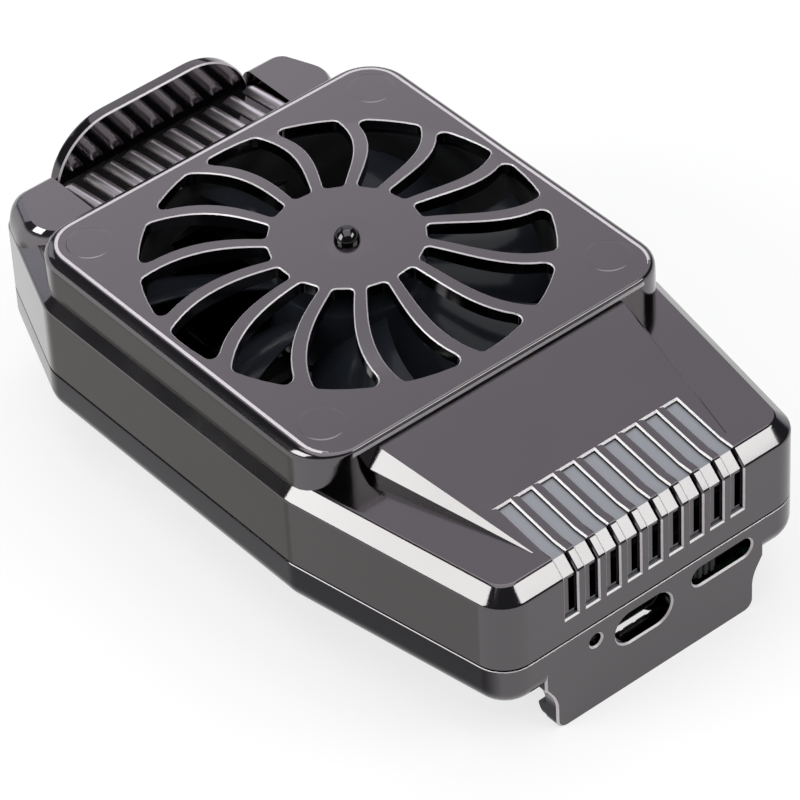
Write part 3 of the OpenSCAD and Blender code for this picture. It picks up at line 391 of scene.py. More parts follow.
def combine(piece, other, operation):
    """Joins, cuts or trims a piece with another, which is used up."""
    take(piece)
    bpy.ops.object.modifier_add(type="BOOLEAN")
    modifier = piece.modifiers[-1]
    modifier.operation = operation
    modifier.object = other
    modifier.solver = "EXACT"
    bpy.ops.object.modifier_apply(modifier=modifier.name)
    bpy.data.objects.remove(other, do_unlink=True)
    if not piece.data.polygons:
        raise RuntimeError(piece.name + " lost its faces")
    return piece


def cut(piece, *others):
    """Cuts other pieces out of a piece."""
    for other in others:
        combine(piece, other, "DIFFERENCE")


def add(piece, *others):
    """Joins other pieces to a piece."""
    for other in others:
        combine(piece, other, "UNION")


def soften(piece, chosen, width, segments):
    """Bevels the edges whose middles a test picks."""
    mesh = piece.data
    picked = []
    for edge in mesh.edges:
        a, b = (mesh.vertices[i].co for i in edge.vertices)
        if chosen((a + b) / 2):
            picked.append(edge.index)
    if not picked:
        raise RuntimeError("no edge to soften on " + piece.name)
    take(piece)
    bpy.ops.object.mode_set(mode="EDIT")
    bpy.ops.mesh.select_mode(type="EDGE")
    bpy.ops.mesh.select_all(action="DESELECT")
    bpy.ops.object.mode_set(mode="OBJECT")
    for index in picked:
        mesh.edges[index].select = True
    bpy.ops.object.mode_set(mode="EDIT")
    bpy.ops.mesh.bevel(offset_type="OFFSET", offset=width, segments=segments, affect="EDGES",
                       clamp_overlap=True)
    bpy.ops.object.mode_set(mode="OBJECT")


def tidy(piece):
    """Merges doubles and dissolves slivers that the cuts left."""
    distance = 0.002
    take(piece)
    bpy.ops.object.mode_set(mode="EDIT")
    bpy.ops.mesh.select_all(action="SELECT")
    bpy.ops.mesh.remove_doubles(threshold=distance)
    bpy.ops.mesh.dissolve_degenerate(threshold=distance)
    bpy.ops.object.mode_set(mode="OBJECT")


def dressed(piece, *finishes):
    """Gives a piece its finishes, in the order of its slots."""
    piece.data.materials.clear()
    for name in finishes:
        piece.data.materials.append(FINISHES[name])
    return piece


def painted(piece, finishes, choose):
    """Gives a piece its finishes, and each face the one whose number is chosen, which a cut hands on."""
    dressed(piece, *finishes)
    for face in piece.data.polygons:
        face.material_index = choose(face)
    return piece


def trimmed(piece, rim, satin=None):
    """Gives the faces that the tests pick the painted highlight or the satin finish."""
    return painted(piece, PLATED_SLOTS, lambda face: 1 if rim(face) else 2 if satin and satin(face) else 0)


def sloped(part, least=0.3, most=0.95):
    """Whether a part of a face's normal is that of a slope."""
    return least < part < most


def complete(piece, body, slot, *nodes):
    """Brings a piece to metres, smooths it, dresses it and lets it ride on its body."""
    take(piece)
    piece.scale = (MM, MM, MM)
    bpy.ops.object.transform_apply(location=True, rotation=True, scale=True)
    bpy.ops.object.shade_smooth_by_angle(angle=SMOOTH_ANGLE)
    bpy.ops.object.modifier_add(type="WEIGHTED_NORMAL")
    modifier = piece.modifiers[-1]
    modifier.keep_sharp = True
    modifier.weight = 60
    bpy.ops.object.modifier_apply(modifier=modifier.name)
    if not piece.data.materials:
        dressed(piece, slot)
    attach(piece, body)
    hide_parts(*nodes)


# Finishes


class Value:
    """A socket that takes part in Python expressions."""

    def __init__(self, tree, socket):
        self.tree = tree
        self.socket = socket

    def _math(self, operation, first, second):
        node = self.tree.nodes.new("ShaderNodeMath")
        node.operation = operation
        for entry, value in zip(node.inputs, (first, second)):
            if isinstance(value, Value):
                self.tree.links.new(value.socket, entry)
            else:
                entry.default_value = value
        return Value(self.tree, node.outputs[0])

    def __add__(self, other):
        return self._math("ADD", self, other)

    def __radd__(self, other):
        return self._math("ADD", other, self)

    def __mul__(self, other):
        return self._math("MULTIPLY", self, other)


class Nodes:
    """A node tree that nodes are added to."""

    def __init__(self, tree):
        self.tree = tree

    def fill(self, node, key, value):
        """Links a value to a node's socket, or sets the socket to it."""
        if isinstance(value, Value):
            self.tree.links.new(value.socket, node.inputs[key])
        else:
            node.inputs[key].default_value = value

    def node(self, kind, settings=None, inputs=None, output=0):
        """Adds a node, sets it up, fills its sockets and gives one of its outputs."""
        node = self.tree.nodes.new(kind)
        for key, value in (settings or {}).items():
            setattr(node, key, value)
        for key, value in (inputs or {}).items():
            self.fill(node, key, value)
        return Value(self.tree, node.outputs[output])

    def blend(self, factor, first, second):
        """A colour between two others."""
        return self.node("ShaderNodeMix", {"data_type": "RGBA"},
                         {"Factor": factor, 6: first, 7: second}, output=2)

    def ranged(self, value, start, end, low=0.0, high=1.0):
        """A value's run from start to end, spread between two others."""
        return self.node("ShaderNodeMapRange", inputs={"Value": value, "From Min": start, "From Max": end,
                                                       "To Min": low, "To Max": high})

    def along(self, kind, axis):
        """Coordinates of one kind along an axis."""
        place = self.node("ShaderNodeTexCoord", output=kind)
        return self.node("ShaderNodeSeparateXYZ", inputs={0: place}, output=axis)


class Finish(Nodes):
    """A material and its node tree, listed under its name."""

    def __init__(self, name):
        self.material = bpy.data.materials.new(name)
        self.material.use_nodes = True
        super().__init__(self.material.node_tree)
        self.shader = self.tree.nodes["Principled BSDF"]
        self.place = self.node("ShaderNodeTexCoord", output="Object")
        FINISHES[name] = self.material

    def noise(self, size, detail=2.0, stretch=None):
        """Noise with features of about the given size in millimetres."""
        place = self.place
        if stretch:
            place = self.node("ShaderNodeMapping", inputs={"Vector": place, "Scale": stretch})
        return self.node("ShaderNodeTexNoise", inputs={"Vector": place, "Scale": 1 / (size * MM),
                                                       "Detail": detail})

    def clouded(self, cloud, rgb, low, high):
        """A colour that a cloud takes from one share of itself to another."""
        return self.blend(cloud, tint(rgb, low), tint(rgb, high))

    def about(self, noise, value, reach):
        """A value with noise about it; the noise keeps to the middle of its range."""
        return self.ranged(noise, 0.3, 0.7, value - reach, value + reach)

    def set(self, **sockets):
        """Sets or links the shader's sockets, named with underscores for spaces."""
        for key, value in sockets.items():
            self.fill(self.shader, key.replace("_", " "), value)

    def cover(self, shader, factor):
        """Mixes another shader over the material's own."""
        own = Value(self.tree, self.shader.outputs[0])
        mixed = self.node("ShaderNodeMixShader", inputs={0: factor, 1: own, 2: shader})
        self.fill(self.tree.nodes["Material Output"], "Surface", mixed)

    def bump(self, height, strength, distance=0.0001):
        """A bump from a height, for the Normal socket."""
        return self.node("ShaderNodeBump", inputs={"Height": height, "Strength": strength,
                                                   "Distance": distance})


FINISHES = {}
# the stretch along the case, in metres, over which the plating is painted paler towards the thumb end, as
# painted light
PAINTED_LIGHT_RAMP = (-0.03, 0.045)
# colour, roughness, and for the foam the grain's size in millimetres and its bump
MOULDED = {
    "soft_pad": ((0.03, 0.03, 0.032), 0.62),
    "black_plastic": ((0.014, 0.014, 0.016), 0.42),
    "knob_plastic": ((0.004, 0.004, 0.005), 0.75),
    "clip_plastic": ((0.75, 0.73, 0.66), 0.45),
    "lead_cover": ((0.35, 0.02, 0.02), 0.4),
    "foam_tape": ((0.7, 0.7, 0.66), 0.85, 0.15, 0.3),
    "lamp_lens": ((0.75, 0.78, 0.8), 0.12),
    "circuit_board": ((0.015, 0.09, 0.04), 0.35),
    "magnet": ((0.05, 0.05, 0.052), 0.55),
}
# colour, roughness, and for some how the marks are stretched
METALS = {
    "spring_steel": ((0.55, 0.55, 0.57), 0.25),
    "bright_steel": ((0.7, 0.7, 0.71), 0.2, (1, 1, 0.05)),
    "bronze": ((0.5, 0.34, 0.15), 0.38),
    "yoke_steel": ((0.4, 0.4, 0.42), 0.35),
    "core_steel": ((0.35, 0.35, 0.37), 0.4, (1, 1, 6)),
    "copper_wire": ((0.6, 0.26, 0.1), 0.3, (1, 1, 4)),
    "cell_foil": ((0.55, 0.56, 0.58), 0.3),
    "socket_steel": ((0.15, 0.155, 0.165), 0.3),
    "dark_steel": ((0.06, 0.06, 0.065), 0.36),
}


def tint(rgb, scale):
    """A share of a colour, with its alpha."""
    return (rgb[0] * scale, rgb[1] * scale, rgb[2] * scale, 1)


def plated(name, rgb, rough, spread=0.04, metal=1.0, sides=None, reach=(0.945, 0.99)):
    """Dark plating over moulded plastic: a metal mirror with a fine grain and faint clouds.

    If a colour of painted shade for the sides is given, the colour is also painted paler towards the thumb
    end, and takes the painted shade where the square of its normal's X passes the reach.
    """
    finish = Finish(name)
    cloud = finish.noise(9, 3)
    grain = finish.noise(0.16, 1)
    colour = finish.clouded(cloud, rgb, 0.94, 1.06)
    if sides:
        # painted light: the plating is painted paler towards the thumb end
        colour = finish.clouded(finish.ranged(finish.along("Object", "Y"), *PAINTED_LIGHT_RAMP), rgb, 0.84, 1.3)
        # painted shade: faces that face the sides take the darker colour
        across = finish.along("Normal", "X")
        side_shade_mask = finish.ranged(across * across, *reach)
        colour = finish.blend(side_shade_mask, colour, finish.clouded(cloud, sides, 0.9, 1.1))
    finish.set(Base_Color=colour,
               Metallic=metal,
               Roughness=finish.about(cloud * 0.6 + grain * 0.4, rough, spread),
               Normal=finish.bump(grain, 0.035, 0.00004))


def moulded(name, rgb, rough, grain_size=0.3, depth=0.05, index=1.5):
    """Moulded plastic or rubber with a fine surface grain."""
    finish = Finish(name)
    cloud = finish.noise(5, 3)
    grain = finish.noise(grain_size)
    finish.set(Base_Color=finish.clouded(cloud, rgb, 0.86, 1.12),
               Roughness=finish.about(grain, rough, 0.06),
               IOR=index,
               Normal=finish.bump(grain, depth))


def bare_metal(name, rgb, rough, stretch=None):
    """Bare metal with fine drawn or turned marks."""
    finish = Finish(name)
    cloud = finish.noise(3, 3)
    marks = finish.noise(0.2, stretch=stretch)
    finish.set(Base_Color=finish.clouded(cloud, rgb, 0.85, 1.1),
               Metallic=1.0,
               Roughness=finish.about(marks, rough, 0.08),
               Normal=finish.bump(marks, 0.06))


def make_finishes(look):
    """Makes every finish of the fan."""
    plating = tuple(look.plating)
    rough = look.plating_gloss

    def share_of_plating(scale):
        return tuple(part * scale for part in plating)

    # the case's plating, with painted shade on its sides and painted light towards the thumb end
    plated("plated_case", plating, rough, sides=(0.046, 0.04, 0.036))
    # a darker painted shade on the tray's sides, over a wider reach, with painted light towards the thumb
    # end
    plated("tray_plating_and_painted_light", plating, rough, sides=(0.016, 0.014, 0.018), reach=(0.5, 0.9))
    # painted highlight: a pale, half-diffuse copy of the plating for lines along edges, bevels and rims
    plated("plated_rim", share_of_plating(4.2), 0.45, metal=0.3)
    plated("plated_satin", (0.25, 0.257, 0.28), 0.5, metal=0.7)
    # painted highlight over the whole of each rib
    plated("plated_rib", share_of_plating(4.6), 0.3)
    plated("plated_grip", share_of_plating(0.8), rough * 0.7)
    # the nub's dark plating, also used as painted shade on the grip's floor between its ribs
    plated("nub_plating", share_of_plating(0.5), 0.08, 0.02)
    moulded("foot_rubber", tuple(look.rubber), 0.45)
    moulded("blade_plastic", tuple(look.blades), 0.16, 0.5, 0.01, 1.26)
    for name, settings in MOULDED.items():
        moulded(name, *settings)
    for name, settings in METALS.items():
        bare_metal(name, *settings)


# Pieces


def case_corners(sizes):
    """The case's outline as sharp corners, and the radii that round them."""
    wide = sizes.case_width / 2
    front = sizes.front_width / 2
    rear = sizes.rear_width / 2
    half = sizes.straight / 2
    end = sizes.end_radius
    thumb = sizes.rear_radius
    side = sizes.side_radius
    points = [(-front, Y_FRONT), (front, Y_FRONT), (wide, FAN_Y - half), (wide, FAN_Y + half),
              (rear, Y_REAR), (-rear, Y_REAR), (-wide, FAN_Y + half), (-wide, FAN_Y - half)]
    return points, [end, end, side, side, thumb, thumb, side, side]


def cover_corners(sizes):
    """The raised cover's outline as sharp corners, and the radii that round them."""
    wide = sizes.case_width / 2 - sizes.cover_ledge
    return oblong(-wide, sizes.cover_front, wide, sizes.cover_rear), [sizes.cover_corner] * 4


def dome_height(sizes, radius):
    """Height of the domed grille at a distance from the fan's axis."""
    ring = sizes.grille_radius
    crown = sizes.hub_radius - CROWN_IN
    dish = sizes.dish_radius
    rise = max(0, min(1, (ring - radius) / (ring - crown)))
    height = sizes.cover_top + sizes.dome * math.sin(math.pi / 2 * rise) ** DOME_SWELL
    if radius < dish:
        height -= sizes.dish_depth * (1 + math.cos(math.pi * radius / dish)) / 2
    return height


def spoke_angle(radius, hub, ring):
    """The angle of a spoke's middle: it leaves the hub, bows back and sweeps forward."""
    bow = math.radians(3.2)
    middle = 0.462 * (hub + ring)
    return bow * (((radius - middle) / (hub - middle)) ** 2 - 1)


def slot_outline(sizes, count, steps=12):
    """One slot of the grille, between two spokes and centred on the fan's axis."""
    hub = sizes.hub_radius
    ring = sizes.grille_radius
    pitch = math.tau / count

    def edge(k, side):
        radius = hub + (ring - hub) * k / steps
        width = sizes.spoke_inner + (sizes.spoke_outer - sizes.spoke_inner) * k / steps
        half = math.asin(width / 2 / radius)
        angle = spoke_angle(radius, hub, ring) + (half if side < 0 else pitch - half)
        return Vector((radius * math.cos(angle), radius * math.sin(angle)))

    near = [edge(k, -1) for k in range(steps + 1)]
    far = [edge(k, 1) for k in range(steps, -1, -1)]
    # the slot's outer end follows the ring
    arc = 4
    outer = [near[-1].lerp(far[0], k / arc).normalized() * ring for k in range(1, arc)]
    points = near + outer + far
    inner_round = 0.7
    outer_round = 1.0
    radii = [0] * len(points)
    radii[0] = radii[-1] = inner_round
    radii[steps] = radii[steps + arc] = outer_round
    return rounded(points, radii, 6)


def slot_cutter(sizes, count):
    """Cutter for one slot of the grille, flared to bevel the slot's rim."""
    rim = sizes.slot_rim
    top = dome_height(sizes, sizes.dish_radius) + 2 * CUT_PAST
    outline = slot_outline(sizes, count)
    wide = widened(outline, rim + RIM_PAST)

    def lifted(ring, heights):
        return [Vector((p.x, p.y + FAN_Y, z)) for p, z in zip(ring, heights)]

    cutter = loft("slot", [
        lifted(outline, [sizes.wall_top] * len(outline)),
        lifted(outline, [dome_height(sizes, p.length) - rim for p in outline]),
        lifted(wide, [dome_height(sizes, p.length) + RIM_PAST for p in wide]),
        lifted(wide, [top] * len(wide))])
    # the bevel's faces take the painted highlight
    return trimmed(cutter, lambda face: sloped(abs(face.normal.z), 0.2))


def panel_height(sizes, y):
    """Height of the hood's sloped panel, which climbs from its tip to the cover."""
    tip = Y_FRONT + sizes.panel_tip
    return sizes.hood_top + sizes.panel_rise * max(0, y - tip) / (sizes.cover_front - tip)


def vent_profile(sizes, depth, fore):
    """Profile of a vent's groove, at one depth down the panel and another over the edge and the wall."""
    edge = sizes.chamfer
    rim = sizes.vent_rim
    side = sizes.wall_top
    hood = sizes.hood_top
    start = Y_FRONT + sizes.vent_length
    top = panel_height(sizes, start)
    low = side - sizes.vent_drop
    shallow = min(depth, rim)
    flare = rim - shallow
    ledge = min(fore, rim)
    foot = low - rim + ledge
    turn = fore * (math.sqrt(2) - 1)
    past = CUT_PAST
    return [(start + rim + past, top + past), (start + flare, top - shallow),
            (start + flare - APART, top - depth), (Y_FRONT + sizes.panel_tip, hood - depth),
            (Y_FRONT + edge + turn, hood - fore), (Y_FRONT + fore, side - turn),
            (Y_FRONT + fore, foot + APART), (Y_FRONT + ledge, foot),
            (Y_FRONT - past, low - rim - past), (Y_FRONT - past, top + past)]


def vent_cutters(sizes):
    """Grooves of the vents, with a painted highlight on one edge, and the slits through the front wall in
    them.
    """
    rim = sizes.vent_rim
    deep = sizes.vent_depth
    half = sizes.vent_width / 2
    slope = sizes.vent_slope
    side = sizes.wall_top
    low = side - sizes.vent_drop
    end = Y_FRONT + sizes.vent_length - 1
    # across a groove: the place, the depth down the panel, and the depth over the edge and the wall
    rings = [(-half - slope - 0.25, -0.03, -RIM_PAST), (-half - slope * 0.45, 0.07, -0.05),
             (-half, 0.19, 0.19), (-half + APART, deep, deep), (half - APART, deep, deep),
             (half, rim, rim), (half + rim + RIM_PAST, -RIM_PAST, -RIM_PAST)]
    groove = loft("groove", [at_side(vent_profile(sizes, depth, fore), x) for x, depth, fore in rings])

    def bright(face):
        """Faces that take the painted highlight: the right edge but for the hood's bevel, the upper end,
        and the left edge on the front wall.
        """
        x, y, z = face.normal
        if y > 0.5 and sloped(-x, most=0.9):
            return True
        bevel = y > 0.2 and z < -0.2
        return face.center.y > end if bevel else sloped(x)

    trimmed(groove, bright, lambda face: face.normal.z < -0.9 and abs(face.center.x) < half)
    left = -0.1
    right = 0.78
    inset = 0.6
    through = 3
    slit = block("slit", (left, Y_FRONT - CUT_PAST, low + inset), (right, Y_FRONT + through, side - inset))
    places = in_row(9, sizes.vent_pitch)
    return repeated(groove, places), repeated(slit, places)


def screw_marks(top):
    """Faint round marks that the screw bosses raise on the cover."""
    profile = [(3.05, -0.3), (3.05, 0), (2.82, 0.1), (2.65, 0.13), (2.3, 0.14)]
    mark = turned("mark", [(radius, top + rise) for radius, rise in profile], 48)
    return repeated(mark, [Matrix.Translation((x, y - FAN_Y, 0)) for x, y in SCREWS])


def swell(height, reach, full):
    """How far a rounded side has drawn in at a height, for its reach in and its full height."""
    steep = 0.88
    up = max(0, min(1, height / full)) * steep
    return reach * (1 - math.sqrt(1 - up * up)) / (1 - math.sqrt(1 - steep * steep))


def shoulder_pads(sizes):
    """The rounded shoulders behind the cover, in one piece that the thumb notch parts."""
    side = sizes.wall_top
    crest = sizes.hood_top + sizes.shoulder_rise
    full = crest - side
    wide = sizes.case_width / 2
    end = sizes.rear_width / 2
    bend = FAN_Y + sizes.straight / 2
    near = sizes.cover_rear + 0.1
    inner = wide + (end - wide) * (near - bend) / (Y_REAR - bend)
    corners = [(-inner, near), (inner, near), (end, Y_REAR), (-end, Y_REAR)]
    near_round = 5.5
    rear_round = sizes.rear_radius + 1
    radii = [near_round, near_round, rear_round, rear_round]
    inset = 0.08
    near_lean = 0.9
    rear_lean = 1.6
    rear_full = 2.4
    levels = []
    steps = 10
    for k in range(steps + 1):
        z = side + full * math.sin(math.pi / 2 * k / steps)
        flank = inset + swell(z - side, sizes.shoulder_inset, full)
        levels.append((z, (flank, inset + swell(z - side, near_lean, full), flank,
                           inset + swell(z - crest + rear_full, rear_lean, rear_full))))
    return stacked("shoulders", corners, radii, levels, 10)


def shell_body(sizes):
    """The upper shell's plain body, eased at the parting line and along the hood's chamfer."""
    points, radii = case_corners(sizes)
    side = sizes.wall_top
    hood = sizes.hood_top
    chamfer = sizes.chamfer
    levels = [(Z_PART, 0.45), (Z_PART + 0.35, 0),
              (side - 0.18, 0), (side + 0.05, 0.06), (side + 0.25, 0.22),
              (hood - 0.25, chamfer - 0.28), (hood - 0.07, chamfer - 0.06), (hood, chamfer + 0.2)]
    return dressed(stacked("upper_case", points, radii, levels), *PLATED_SLOTS)


def raised_cover(sizes):
    """The cover over the fan, with a painted highlight as a line round its top and as a band on its front
    wall.
    """
    corners, radii = cover_corners(sizes)
    top = sizes.cover_top
    fillet = sizes.cover_fillet
    brow = sizes.cover_brow
    levels = [(sizes.wall_top, 0)]
    steps = 8
    for k in range(steps + 1):
        turn = math.pi / 2 * k / steps
        z = top - fillet + fillet * math.sin(turn)
        up = max(0, min(1, (z - top + brow) / brow))
        inset = fillet * (1 - math.cos(turn))
        levels.append((z, (inset, brow * (1 - math.sqrt(1 - up * up)), inset, inset)))
    inset = fillet + BRIGHT_LINE
    levels.append((top, (inset, brow + BRIGHT_LINE, inset, inset)))
    cover = stacked("cover", corners, radii, levels, 10)
    line_from = sizes.cover_front + 2
    band_from = panel_height(sizes, sizes.cover_front) + 0.3

    def bright(face):
        """Faces that take the painted highlight: the line but for its front stretch, and the band."""
        if face.normal.z > FLAT:
            return len(face.vertices) == 4 and face.center.y > line_from
        return face.normal.y < -FLAT and face.center.z > band_from

    return trimmed(cover, bright)


def hood_panel(sizes):
    """The hood's sloped panel, with its flared sides, from under the cover to its tip."""
    back = sizes.cover_front + sizes.cover_fillet + CUT_PAST
    tip = Y_FRONT + sizes.panel_tip
    hood = sizes.hood_top
    low = hood - CUT_PAST
    wide = 21
    crown = 19.3
    narrow = 14.9
    ease = 0.1

    def ring(half, z, tip_half, tip_y, tip_z):
        return [Vector(p) for p in ((-half, back, z), (half, back, z),
                                    (tip_half, tip_y, tip_z), (-tip_half, tip_y, tip_z))]

    return loft("panel", [ring(wide, low, narrow, tip, low),
                          ring(wide, hood + 1.5, narrow, tip, hood - 0.02),
                          ring(crown, panel_height(sizes, back), narrow - ease, tip + ease, hood)])


def grille_dome(sizes):
    """The domed grille before its slots are cut, with the shallow dish in its hub."""
    ring = sizes.grille_radius
    crown = sizes.hub_radius - CROWN_IN
    top = sizes.cover_top
    slope = 12
    dish = 8
    radii = [ring + (crown - ring) * k / slope for k in range(1, slope + 1)]
    radii += [sizes.dish_radius * k / dish for k in range(dish, 1, -1)]
    profile = [(ring, top - 0.6), (ring, top)] + [(r, dome_height(sizes, r)) for r in radii]
    return turned("dome", profile, 120)


def shell_hollows(sizes):
    """Cutters for the upper shell's inside, the bay under the cover and the grille's underside."""
    points, radii = case_corners(sizes)
    corners, corner_radii = cover_corners(sizes)
    wall = sizes.wall
    side = sizes.wall_top
    hood = sizes.hood_top
    top = sizes.cover_top
    end = sizes.cover_rear - wall
    inside = [p for p in drawn_in(points, radii, wall) if p.y < end]
    relief = [p for p in drawn_in(points, radii, wall + sizes.chamfer) if p.y < end]
    bay = drawn_in(corners, corner_radii, wall)
    ring = sizes.grille_radius + 0.4
    hub = top + sizes.dome - wall
    rings = [(inside, Z_PART - CUT_PAST), (inside, hood - wall - sizes.chamfer), (relief, hood - wall)]
    grille = [(ring, side), (ring, top - wall), (sizes.hub_radius, hub), (3, hub - 0.2)]
    return (loft("inside", [at_height(points, z) for points, z in rings]),
            prism("bay", bay, side - CUT_PAST, top - wall), turned("underside", grille))


def hub_nub(sizes):
    """The round nub in the middle of the grille's hub."""
    base = dome_height(sizes, 0)
    profile = [(1.6, -0.4), (1.6, 0.25), (1.52, 0.6), (1.3, 1.0), (0.95, 1.38), (0.6, 1.6), (0.25, 1.7)]
    nub = turned("hub_nub", [(radius, base + rise) for radius, rise in profile], 32)
    return dressed(nub, "nub_plating")


class FAN_OT_upper_shell(bpy.types.Operator):
    """Model the plated upper shell with its cover, grille, hood, vents and shoulders"""
    bl_idname = "fan.upper_shell"
    bl_label = "Upper Shell"

    def execute(self, context):
        sizes = sizes_mm(context.scene)
        shell = shell_body(sizes)
        add(shell, raised_cover(sizes), hood_panel(sizes), shoulder_pads(sizes), grille_dome(sizes))
        cut(shell, *shell_hollows(sizes))
        slots = 15
        cut(shell, repeated(slot_cutter(sizes, slots), round_fan(slots)))
        cut(shell, *vent_cutters(sizes))
        add(shell, screw_marks(sizes.cover_top))
        cut(shell, block("notch", (-sizes.notch_half, sizes.notch_start, Z_PART - 2),
                         (sizes.notch_half, Y_REAR + END_PAST, sizes.cover_top + END_PAST)))
        tidy(shell)
        complete(shell, "case", "plated_case", "upper_shell")
        complete(hub_nub(sizes), "case", "plated_case", "upper_shell")
        return {"FINISHED"}


def hooked(face, way, outline):
    """The hook along a jaw's tip, on a face and pointing one way along the case."""
    profile = [(-0.5, 3), (0, 3), (1.15, 2.68), (1.4, 2.45), (1.4, 2.05), (1.25, 1.7), (0.2, 0), (-0.5, 0)]
    profile = [(face + way * out, z) for out, z in profile]
    half = max(p.x for p in outline) + CUT_PAST
    hook = prism("hook", profile, -half, half, at_side)
    near, far = sorted((face - way, face + way * 2))
    return combine(hook, prism("trim", widened(outline, -0.12), near, far, at_depth), "INTERSECT")


def rods(name, places, radius, low, high):
    """Round posts or bores, in one piece."""
    return joined([prism(name, circle(radius, 32, x, y), low, high) for x, y in places])


def outlet_cutters(low, high):
    """Round-ended slots in the tray's floor, under the fan and on both sides of the slide channel."""
    pitch = 6
    half = 2.2
    reach = 22.5
    near = 12
    shortest = 1.5
    slots = []
    for side in (-1, 1):
        for k in range(-3, 4):
            edge = abs(k) * pitch + half
            far = math.sqrt(reach ** 2 - edge ** 2)
            corners = oblong(side * near, k * pitch - half, side * far, k * pitch + half)[::side]
            ring = [Vector((p.x, p.y + FAN_Y)) for p in rounded(corners, [1.2] * 4, 5)]
            if far > near + shortest:
                slots.append(prism("outlet", ring, low, high))
    return joined(slots)


def tray_body(sizes):
    """The tray's plain body, rounded below, with a painted highlight as a line along its front parting
    edge.
    """
    points, radii = case_corners(sizes)
    edge = sizes.tray_radius
    steps = 8
    levels = [(Z_TRAY + edge * (1 - math.cos(math.pi / 2 * k / steps)),
               edge * (1 - math.sin(math.pi / 2 * k / steps))) for k in range(steps + 1)]
    levels += [(Z_PART - BRIGHT_LINE, 0), (Z_PART, BRIGHT_LINE)]
    return trimmed(stacked("lower_case", points, radii, levels),
                   lambda face: (face.center.z > Z_PART - BRIGHT_LINE and sloped(face.normal.z)
                                 and face.normal.y < -0.3))


def front_jaw(sizes):
    """The fixed jaw's outline, flared at the tray, and its plate with a painted highlight on its front
    edge.
    """
    half = sizes.jaw_half
    flare = half + 1.6
    neck = 4.9
    foot = Z_TRAY + 0.4
    top = 11.5
    corners = [(-half, 0), (half, 0), (half, neck), (flare, foot),
               (flare, top), (-flare, top), (-flare, foot), (-half, neck)]
    outline = rounded(corners, [1.5, 1.5, 5, 0.3, 0.3, 0.3, 0.3, 5], 10)
    plate = loft("jaw", [at_depth(widened(outline, -JAW_BEVEL), Y_FRONT),
                         at_depth(outline, Y_FRONT + JAW_BEVEL),
                         at_depth(outline, sizes.jaw_face)])
    return outline, trimmed(plate, lambda face: sloped(-face.normal.y))


def front_openings(inner):
    """Cutters with bevelled rims, which take a painted highlight, for the charge opening, the switch slot
    and the lamp hole.
    """
    charge = stadium(8.7, 4.6, -1.9, 9.3)
    switch = stadium(9.4, 2.7, 10.4, 10.35)
    lamp = circle(0.9, 32, -9.3, 10.65)
    rim = 0.22
    cutters = []
    for ring in (charge, switch, lamp):
        wide = widened(ring, rim + RIM_PAST)
        cutter = loft("opening", [at_depth(wide, Y_FRONT - CUT_PAST), at_depth(wide, Y_FRONT - RIM_PAST),
                                  at_depth(ring, Y_FRONT + rim), at_depth(ring, inner + CUT_PAST)])
        cutters.append(trimmed(cutter, lambda face: sloped(abs(face.normal.y))))
    return cutters


class FAN_OT_lower_shell(bpy.types.Operator):
    """Model the plated tray with the fixed jaw, the openings, the outlets and the slide channel"""
    bl_idname = "fan.lower_shell"
    bl_label = "Lower Shell"

    def execute(self, context):
        sizes = sizes_mm(context.scene)
        points, radii = case_corners(sizes)
        wall = sizes.wall
        floor = Z_TRAY + wall
        under = Z_TRAY - CUT_PAST
        near = sizes.notch_start
        far = Y_REAR + END_PAST
        tray = tray_body(sizes)
        inside = [p for p in drawn_in(points, radii, wall) if p.y < near - wall]
        cut(tray, prism("inside", inside, floor, Z_PART + CUT_PAST))
        bridge = 11.2
        add(tray, block("bridge", (-bridge, TONGUE_START - 2.6, Z_TRAY + 0.3), (bridge, near, 12)))
        root = floor - 0.4
        posts = [(x, Y_FRONT + 21.3) for x in (-16, 16)]
        add(tray, rods("boss", SCREWS, 3.1, root, 17.1), rods("post", posts, 2.2, root, 10.9))
        jaw_face = sizes.jaw_face
        outline, plate = front_jaw(sizes)
        add(tray, plate, hooked(jaw_face, 1, outline))
        cut(tray, block("notch", (-sizes.notch_half, near, 0), (sizes.notch_half, far, Z_PART + END_PAST)))
        cut(tray, outlet_cutters(under, floor + CUT_PAST))
        start = TONGUE_START - CUT_PAST
        roof = 10.8
        channel = TONGUE_HALF + SLIDE_GAP
        undercut = FLANGE_HALF + SLIDE_GAP
        cut(tray, block("channel", (-channel, start, under), (channel, far, roof)))
        cut(tray, block("undercut", (-undercut, start, FLANGE_LOW - SLIDE_GAP), (undercut, far, roof)))
        cut(tray, rods("bore", SCREWS, 2.1, under, 12.05), rods("shank", SCREWS, 1.15, 11, 18))
        cut(tray, *front_openings(jaw_face))
        # room for the charge socket behind its opening
        cut(tray, block("pocket", (-6.55, jaw_face - 0.1, 7.5), (2.75, jaw_face + 7.6, 10.7)))
        tidy(tray)
        # the tray's plating, with painted shade on its sides
        tray.data.materials[0] = FINISHES["tray_plating_and_painted_light"]
        complete(tray, "case", "plated_case", "lower_shell")
        return {"FINISHED"}


def grip_floor(sizes, y):
    """Height of the grip's floor between its ribs, which falls from the cover to the lip."""
    near = sizes.grip_start
    fall = sizes.rib_fall / (sizes.lip_front - near)
    return sizes.hood_top + sizes.rib_rise - RIB_HEIGHT - fall * (y - near)


